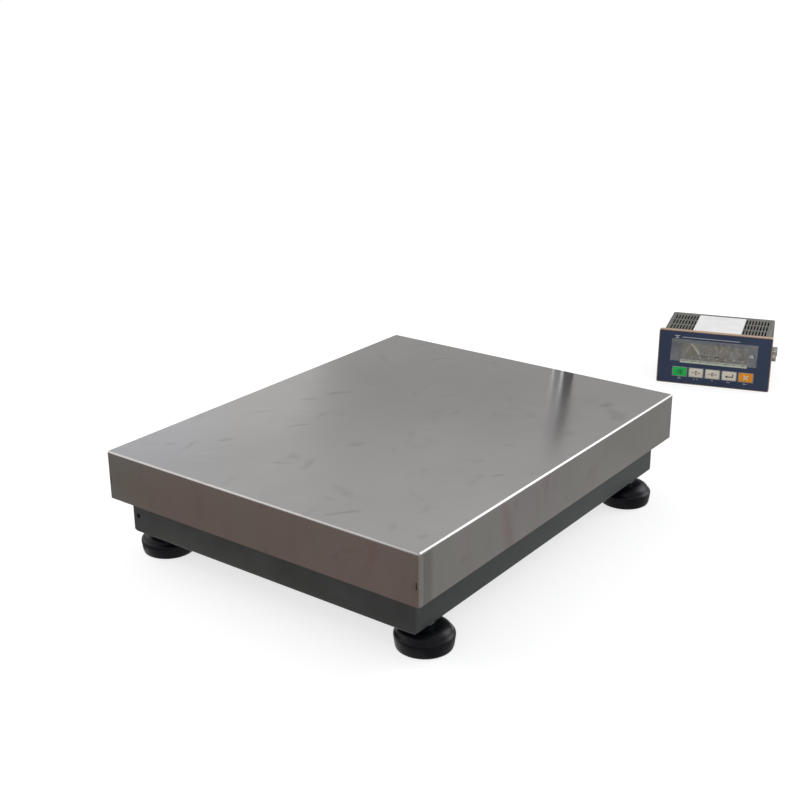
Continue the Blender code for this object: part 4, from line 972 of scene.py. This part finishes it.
fit("digit_block", slab(-42, 42, digit_face, 16.1, 40, 60), black_nylon,
    "digit_module")
segments = bmesh.new()
for index in range(6):
    middle = (index - 2.5) * 13.6
    corners = {}
    for across, up in [(across, up) for across in (-1, 1) for up in (-1, 0, 1)]:
        slant = up * digit_tall * 0.12
        corners[across, up] = Vector((middle + across * digit_half + slant, digit_z + up * digit_tall))
    for first, second in (((-1, 1), (1, 1)), ((-1, 0), (1, 0)), ((-1, -1), (1, -1)),
                          ((-1, -1), (-1, 0)), ((-1, 0), (-1, 1)), ((1, -1), (1, 0)),
                          ((1, 0), (1, 1))):
        start, end = corners[first], corners[second]
        gap = (end - start).normalized() * 1.1
        flat_bar(segments, start + gap, end - gap, 1.4, on_digit, 0.6)
    pour(segments, peg(middle + digit_half + 1.8, digit_z - digit_tall, *on_digit, 0.8, 16))
fit("digit_segments", segments, unlit)


# The bezel: a tan moulding with a softened rim, a recess for the printed overlay and a deep
# hollow behind for the sleeve.
tan_moulding = finish("bezel_moulding", ((0.36, 0.225, 0.140), (0.44, 0.285, 0.180)),
                      (0.36, 0.50), 40.0, 1800.0)
window_half = 47.5
window_low = 37.75
window_high = 62.25


def face_openings():
    """What is cut out of the bezel and the overlay: the window, and the wells of the keys."""
    window = slab(-window_half, window_half, -10, 20, window_low, window_high)
    wells = [slab(x - 10.05, x + 10.05, -10, 20, key_z - 6.6, key_z + 6.6, 1.4, 4)
             for x in key_centres]
    return window, pour(bmesh.new(), *wells)


bezel = slab(-80, 80, 0, 8, 0, 80, 2.5, 6)
round_off(bezel, edges_where(bezel, lambda place: place.y < 0.0001), 0.5 * mm, 3)
recess = slab(-79, 79, -10, 0.8, 1, 79, 1.5)
hollow = slab(-75.3, 75.3, 3, 20, 2.7, 77.3, 2, 4)
bezel = worked(bezel, recess, hollow, *face_openings())
fit("bezel_moulding", bezel, tan_moulding, "front_bezel")


# The overlay: a navy polyester film in the recess, cut out for the window and the keys,
# with its marks printed in cream. Its title place holds a plain rule and a scale sign.
navy = finish("navy_overlay", ((0.018, 0.033, 0.078), (0.024, 0.043, 0.098)), (0.30, 0.42),
              16.0, 2600.0, 0.00001)
cream_ink = finish("cream_ink", ((0.62, 0.62, 0.60), (0.72, 0.72, 0.70)), (0.40, 0.52), 300.0)
strip_print = finish("strip_print", ((0.56, 0.60, 0.47), (0.64, 0.67, 0.54)), (0.42, 0.55), 30.0)
overlay = slab(-78.7, 78.7, 0, 0.5, 1.3, 78.7, 1.2)
fit("overlay_film", worked(overlay, *face_openings()), navy, "front_overlay")
on_overlay = (-0.05, 0.1)


def arrow(form, tail, tip, width, head, layer):
    """Adds a flat arrow from its tail to its tip."""
    tail, tip = Vector(tail), Vector(tip)
    way = (tip - tail).normalized()
    side = Vector((-way.y, way.x)) * head * 0.62
    neck = tip - way * head
    flat_bar(form, tail, neck, width, layer)
    flat_shape(form, [neck + side, tip, neck - side], layer)


def chevron(form, centre, reach, turn, width, layer):
    """Adds an open arrowhead that points to the right, turned by an angle."""
    spin = Matrix.Rotation(math.radians(turn), 2)
    tip = Vector(centre) + spin @ Vector((reach * 0.5, 0.0))
    for side in (-1, 1):
        tail = Vector(centre) + spin @ Vector((-reach * 0.4, side * reach))
        flat_bar(form, tail, tip, width, layer)


marks = bmesh.new()
function_x, tare_x, zero_x, enter_x, exit_x = key_centres
for x, z, end_x, end_z, width in ((-57.2, 72.2, -50.0, 72.2, 0.9), (-53.6, 72.2, -53.6, 69.0, 0.9),
                                  (-56.0, 69.0, -51.2, 69.0, 0.9), (-46.5, 70.6, 35.0, 70.6, 0.7),
                                  (exit_x - 2.7, 7.4, exit_x - 2.7, 10.2, 0.5)):
    flat_bar(marks, (x, z), (end_x, end_z), width, on_overlay)
for tail_x, tip_x, z, head in ((function_x - 2.2, function_x + 2.2, 9.8, 1.3),
                               (function_x + 2.2, function_x - 2.2, 8.0, 1.3),
                               (enter_x + 2.8, enter_x - 2.8, 8.8, 1.4),
                               (exit_x + 2.6, exit_x - 2.0, 8.8, 1.4)):
    arrow(marks, (tail_x, z), (tip_x, z), 0.4, head, on_overlay)
for x, reach, turn in ((tare_x - 2.2, 1.3, 0), (tare_x + 2.4, 1.3, -90), (zero_x, 1.5, 90)):
    chevron(marks, (x, 8.8), reach, turn, 0.4, on_overlay)
weight_x = 52.3
flat_shape(marks, [(weight_x + x, z) for x, z in ((-3.4, 47.8), (3.4, 47.8), (2.4, 52.2),
                                                  (-2.4, 52.2))], on_overlay)
pour(marks, worked(peg(weight_x, 53.1, *on_overlay, 1.3), peg(weight_x, 53.2, -1, 1, 0.7, 16)))
box_half = 10.4
box_tall = 6.9
for x in key_centres:
    for side in (-1, 1):
        flat_bar(marks, (x - box_half, key_z + side * box_tall),
                 (x + box_half, key_z + side * box_tall), 0.4, on_overlay)
        flat_bar(marks, (x + side * box_half, key_z - box_tall),
                 (x + side * box_half, key_z + box_tall), 0.4, on_overlay)
fit("overlay_marks", marks, cream_ink)
strip = bmesh.new()
flat_shape(strip, [(-47.7, 32.4), (47.2, 32.4), (47.2, 37.65), (-47.7, 37.65)], (-0.03, 0.1))
fit("label_strip", strip, strip_print)
numbers = bmesh.new()
number_z = 35.05
lamp_places = [-31.2, -19.3, -7.3, 4.6, 16.6, 28.6, 40.7]
for index, x in enumerate([-42.5] + lamp_places, 1):
    letters = bpy.data.curves.new("number", "FONT")
    letters.body = str(index)
    letters.size = 0.0040
    letters.align_x = "CENTER"
    letters.align_y = "CENTER"
    letters.resolution_u = 3
    letters.extrude = 0.00004
    typed = bpy.data.objects.new("number", letters)
    bpy.context.scene.collection.objects.link(typed)
    bpy.context.view_layer.update()
    outline = bpy.data.meshes.new_from_object(typed)
    outline.transform(Matrix.Translation(Vector((x, -0.04, number_z)) * mm)
                      @ Matrix.Rotation(math.pi / 2, 4, "X"))
    numbers.from_mesh(outline)
    bpy.data.objects.remove(typed)
    bpy.data.curves.remove(letters)
    bpy.data.meshes.remove(outline)
bmesh.ops.remove_doubles(numbers, verts=numbers.verts, dist=0.000001)
fit("strip_numbers", numbers, dark_ink)


# The window: smoked acrylic let into the bezel from behind, its flange against the
# moulding, with seven small lamps under it along its lower edge.
smoked = finish("smoked_acrylic", ((0.175, 0.135, 0.080), (0.215, 0.170, 0.105)), (0.10, 0.18), 30.0,
                depth=0.000003, Alpha=0.86)
lamp_glow = finish("indicator_lamp", ((0.70, 0.66, 0.58), (0.82, 0.78, 0.70)), (0.25, 0.35), 300.0)
pane = slab(0.3 - window_half, window_half - 0.3, 0.3, 4, window_low + 0.3, window_high - 0.3)
flange = slab(-3 - window_half, window_half + 3, 3.3, 4.8, window_low - 3, window_high + 3)
fit("window_pane", worked(pane, flange, operation="UNION"), smoked, "display_window")
lamps = pour(bmesh.new(), *(peg(x, 42, 0.15, 0.6, 1) for x in lamp_places))
fit("indicator_lamps", lamps, lamp_glow)


# The keys: five moulded caps with softened rims, green, cream and orange, which slide in the
# bezel against their switches. Their signs are printed: menu, tare, zero, enter and leave.
green_cap = finish("green_cap", ((0.004, 0.50, 0.072), (0.008, 0.56, 0.095)), (0.34, 0.46), 70.0)
cream_cap = finish("cream_cap", ((0.80, 0.72, 0.60), (0.87, 0.79, 0.67)), (0.36, 0.48), 70.0)
orange_cap = finish("orange_cap", ((0.88, 0.30, 0.006), (0.93, 0.36, 0.012)), (0.34, 0.46), 70.0)
white_ink = finish("white_ink", ((0.78, 0.78, 0.76), (0.86, 0.86, 0.84)), (0.40, 0.50), 300.0)
navy_ink = finish("navy_ink", ((0.012, 0.018, 0.045), (0.018, 0.026, 0.060)), (0.40, 0.50), 300.0)
on_cap = (-0.66, -0.5)
signs = {
    "function": [(left, step, right, step, 1.2) for step in (-2.5, 0, 2.5)
                 for left, right in ((-2.4, 4.4), (-4.6, -3.4))],
    "tare": [(-2.1, 2.1, 2.1, 2.1, 0.9), (0, 1.8, 0, -1.6, 1.1), (-1.3, -2.1, 1.3, -2.1, 0.9)],
    "zero": [],
    "enter": [(5.2, -1.8, 5.2, 3.2, 1.3)],
    "exit": [(-3, -3, 3, 3, 1.4), (-3, 3, 3, -3, 1.4)],
}
other_caps = {"function": (green_cap, "green"), "exit": (orange_cap, "orange")}
for name, x in zip(key_names, key_centres):
    surface, colour = other_caps.get(name, (cream_cap, "cream"))
    cap = slab(x - 9.75, x + 9.75, -0.6, 4.4, key_z - 6.3, key_z + 6.3, 1.4)
    round_off(cap, edges_where(cap, lambda place: place.y < 0), 0.45 * mm, 4)
    fit(f"{name}_cap", cap, surface, f"key_{name}", f"{name}_key")
    sign = bmesh.new()
    if name in ("tare", "zero"):
        for side in (-1, 1):
            arrow(sign, (x + side * 6.6, key_z), (x + side * 2.6, key_z), 0.6, 1.8, on_cap)
    elif name == "enter":
        arrow(sign, (x + 5.2, key_z - 1.2), (x - 5.8, key_z - 1.2), 1.3, 3.4, on_cap)
    for start_x, start_z, end_x, end_z, width in signs[name]:
        flat_bar(sign, (x + start_x, key_z + start_z), (x + end_x, key_z + end_z), width, on_cap)
    if name == "zero":
        hoop = worked(peg(x, key_z, *on_cap, 2.4, 32), peg(x, key_z, -10, 10, 1.4, 24))
        bmesh.ops.scale(hoop, vec=(0.78, 1.0, 1.12), verts=hoop.verts,
                        space=Matrix.Translation(Vector((-x, 0.0, -key_z)) * mm))
        pour(sign, hoop)
    ink = white_ink if name == "exit" else navy_ink
    fit(f"{name}_sign", sign, ink, None, f"{name}_key")


# The protective film: a clear plastic sheet still stuck over the display. It has lifted along
# folds, some painted pale as a highlight, others, mostly near its lower edge, dark as shade.
film_finish = finish("protective_film", ((0.40, 0.40, 0.395), (0.56, 0.56, 0.545)),
                     (0.28, 0.38), 75.0, (160.0, 160.0, 60.0), 0.0002)
tree = film_finish.node_tree
shader = tree.nodes["Principled BSDF"]
folded = tree.nodes.new("ShaderNodeAttribute")
folded.attribute_name = "fold"
# Painted highlight along folds with a positive fold value, painted shade along those with a negative
# one.
painted_fold_highlight = between(tree, folded.outputs["Fac"], 0.0, 1.0)
painted_fold_shade = between(tree, product(tree, folded.outputs["Fac"], -1.0), 0.0, 1.0)
clouds = between(tree, noise_field(tree, (130.0, 130.0, 75.0), 4.0, 0.0, 0.8), 0.40, 0.62)
colour = tinted(tree, shader.inputs["Base Color"].links[0].from_socket, (0.74, 0.70, 0.60), painted_fold_highlight)
colour = tinted(tree, colour, (0.020, 0.020, 0.022), painted_fold_shade)
cover = 0.34
for field, share in ((clouds, 0.15), (painted_fold_highlight, 0.32), (painted_fold_shade, 0.5)):
    cover = add_math(tree, "ADD", cover, product(tree, field, share))
one_face = add_math(tree, "POWER", add_math(tree, "SUBTRACT", 1.0, cover), 0.5)
feed(tree, shader, Base_Color=colour, Alpha=add_math(tree, "SUBTRACT", 1.0, one_face))
# Each fold: its points, its width and its strength; a positive strength paints a highlight, a negative
# one paints shade.
folds = (
    (((-32.2, 61.6), (-28.5, 55.7), (-24.6, 51.3), (-21.9, 47.6)), 1.0, 0.95),
    (((-29.9, 61.6), (-25.0, 55.1), (-20.0, 48.2)), 0.7, 0.50),
    (((-39.1, 48.6), (-36.8, 54.9), (-32.9, 60.1)), 0.9, 0.55),
    (((-21.3, 47.2), (-6.9, 47.1), (10.4, 47.4), (17.1, 53.1), (15.4, 60.5)), 0.6, 0.50),
    (((1.8, 60.4), (4.0, 51.7)), 1.7, 0.60), (((11.9, 60.5), (8.7, 51.8)), 1.2, 0.50),
    (((24.2, 54.5), (23.6, 47.1)), 1.9, 0.62), (((28.9, 60.6), (33.7, 54.6)), 1.0, 0.45),
    (((34.9, 53.4), (34.4, 46.7)), 0.9, 0.40), (((-42.7, 56.1), (-43.0, 44.7)), 2.2, 0.22),
    (((-25.3, 60.1), (-25.7, 53.8)), 1.6, 0.25), (((46.0, 64.4), (59.0, 66.3)), 0.5, 0.45),
    (((46.5, 60.8), (59.0, 62.1)), 0.5, 0.40), (((47.0, 57.8), (58.5, 58.5)), 0.5, 0.35),
    (((-38.0, 47.3), (-39.2, 39.7)), 0.6, -0.55), (((-16.8, 45.2), (-14.3, 44.2)), 0.8, -0.85),
    (((-13.0, 44.5), (3.8, 44.2)), 0.4, -0.60), (((3.2, 44.3), (7.2, 45.6)), 0.8, -0.85),
    (((30.8, 45.3), (41.6, 45.0)), 0.6, -0.75), (((24.8, 57.5), (25.0, 57.7)), 0.6, -0.90),
    (((-12.0, 63.4), (-9.5, 63.4)), 0.6, -0.60),
)
film_left, film_right, film_low, film_high, film_slant = -62, 60, 34.6, 67.7, 0.9
film = bmesh.new()
bmesh.ops.create_grid(film, x_segments=244, y_segments=66, size=0.5)
fold_layer = film.verts.layers.float.new("fold")
for vert in film.verts:
    up = vert.co.y + 0.5
    here = Vector((film_left + (vert.co.x + 0.5) * (film_right - film_left) + film_slant * up,
                   film_low + up * (film_high - film_low)))
    amount = 0.0
    for points, width, strength in folds:
        nearest = math.inf
        for first, second in zip(points, points[1:]):
            start = Vector(first)
            run = Vector(second) - start
            along = max(0.0, min(1.0, (here - start).dot(run) / run.length_squared))
            nearest = min(nearest, (here - start - run * along).length)
        amount += strength * (0.62 * math.exp(-(nearest / width) ** 2)
                              + 0.30 * math.exp(-(nearest / width / 2.6) ** 2))
    vert[fold_layer] = max(-1.0, min(1.0, amount))
    vert.co = Vector((here.x, -0.22 - 0.22 * abs(vert[fold_layer]), here.y)) * mm
back_face = bmesh.ops.extrude_face_region(film, geom=film.faces[:])["geom"]
bmesh.ops.translate(film, vec=(0.0, 0.1 * mm, 0.0), verts=only_verts(back_face))
fit("protective_film", film, film_finish, sharp=80.0)
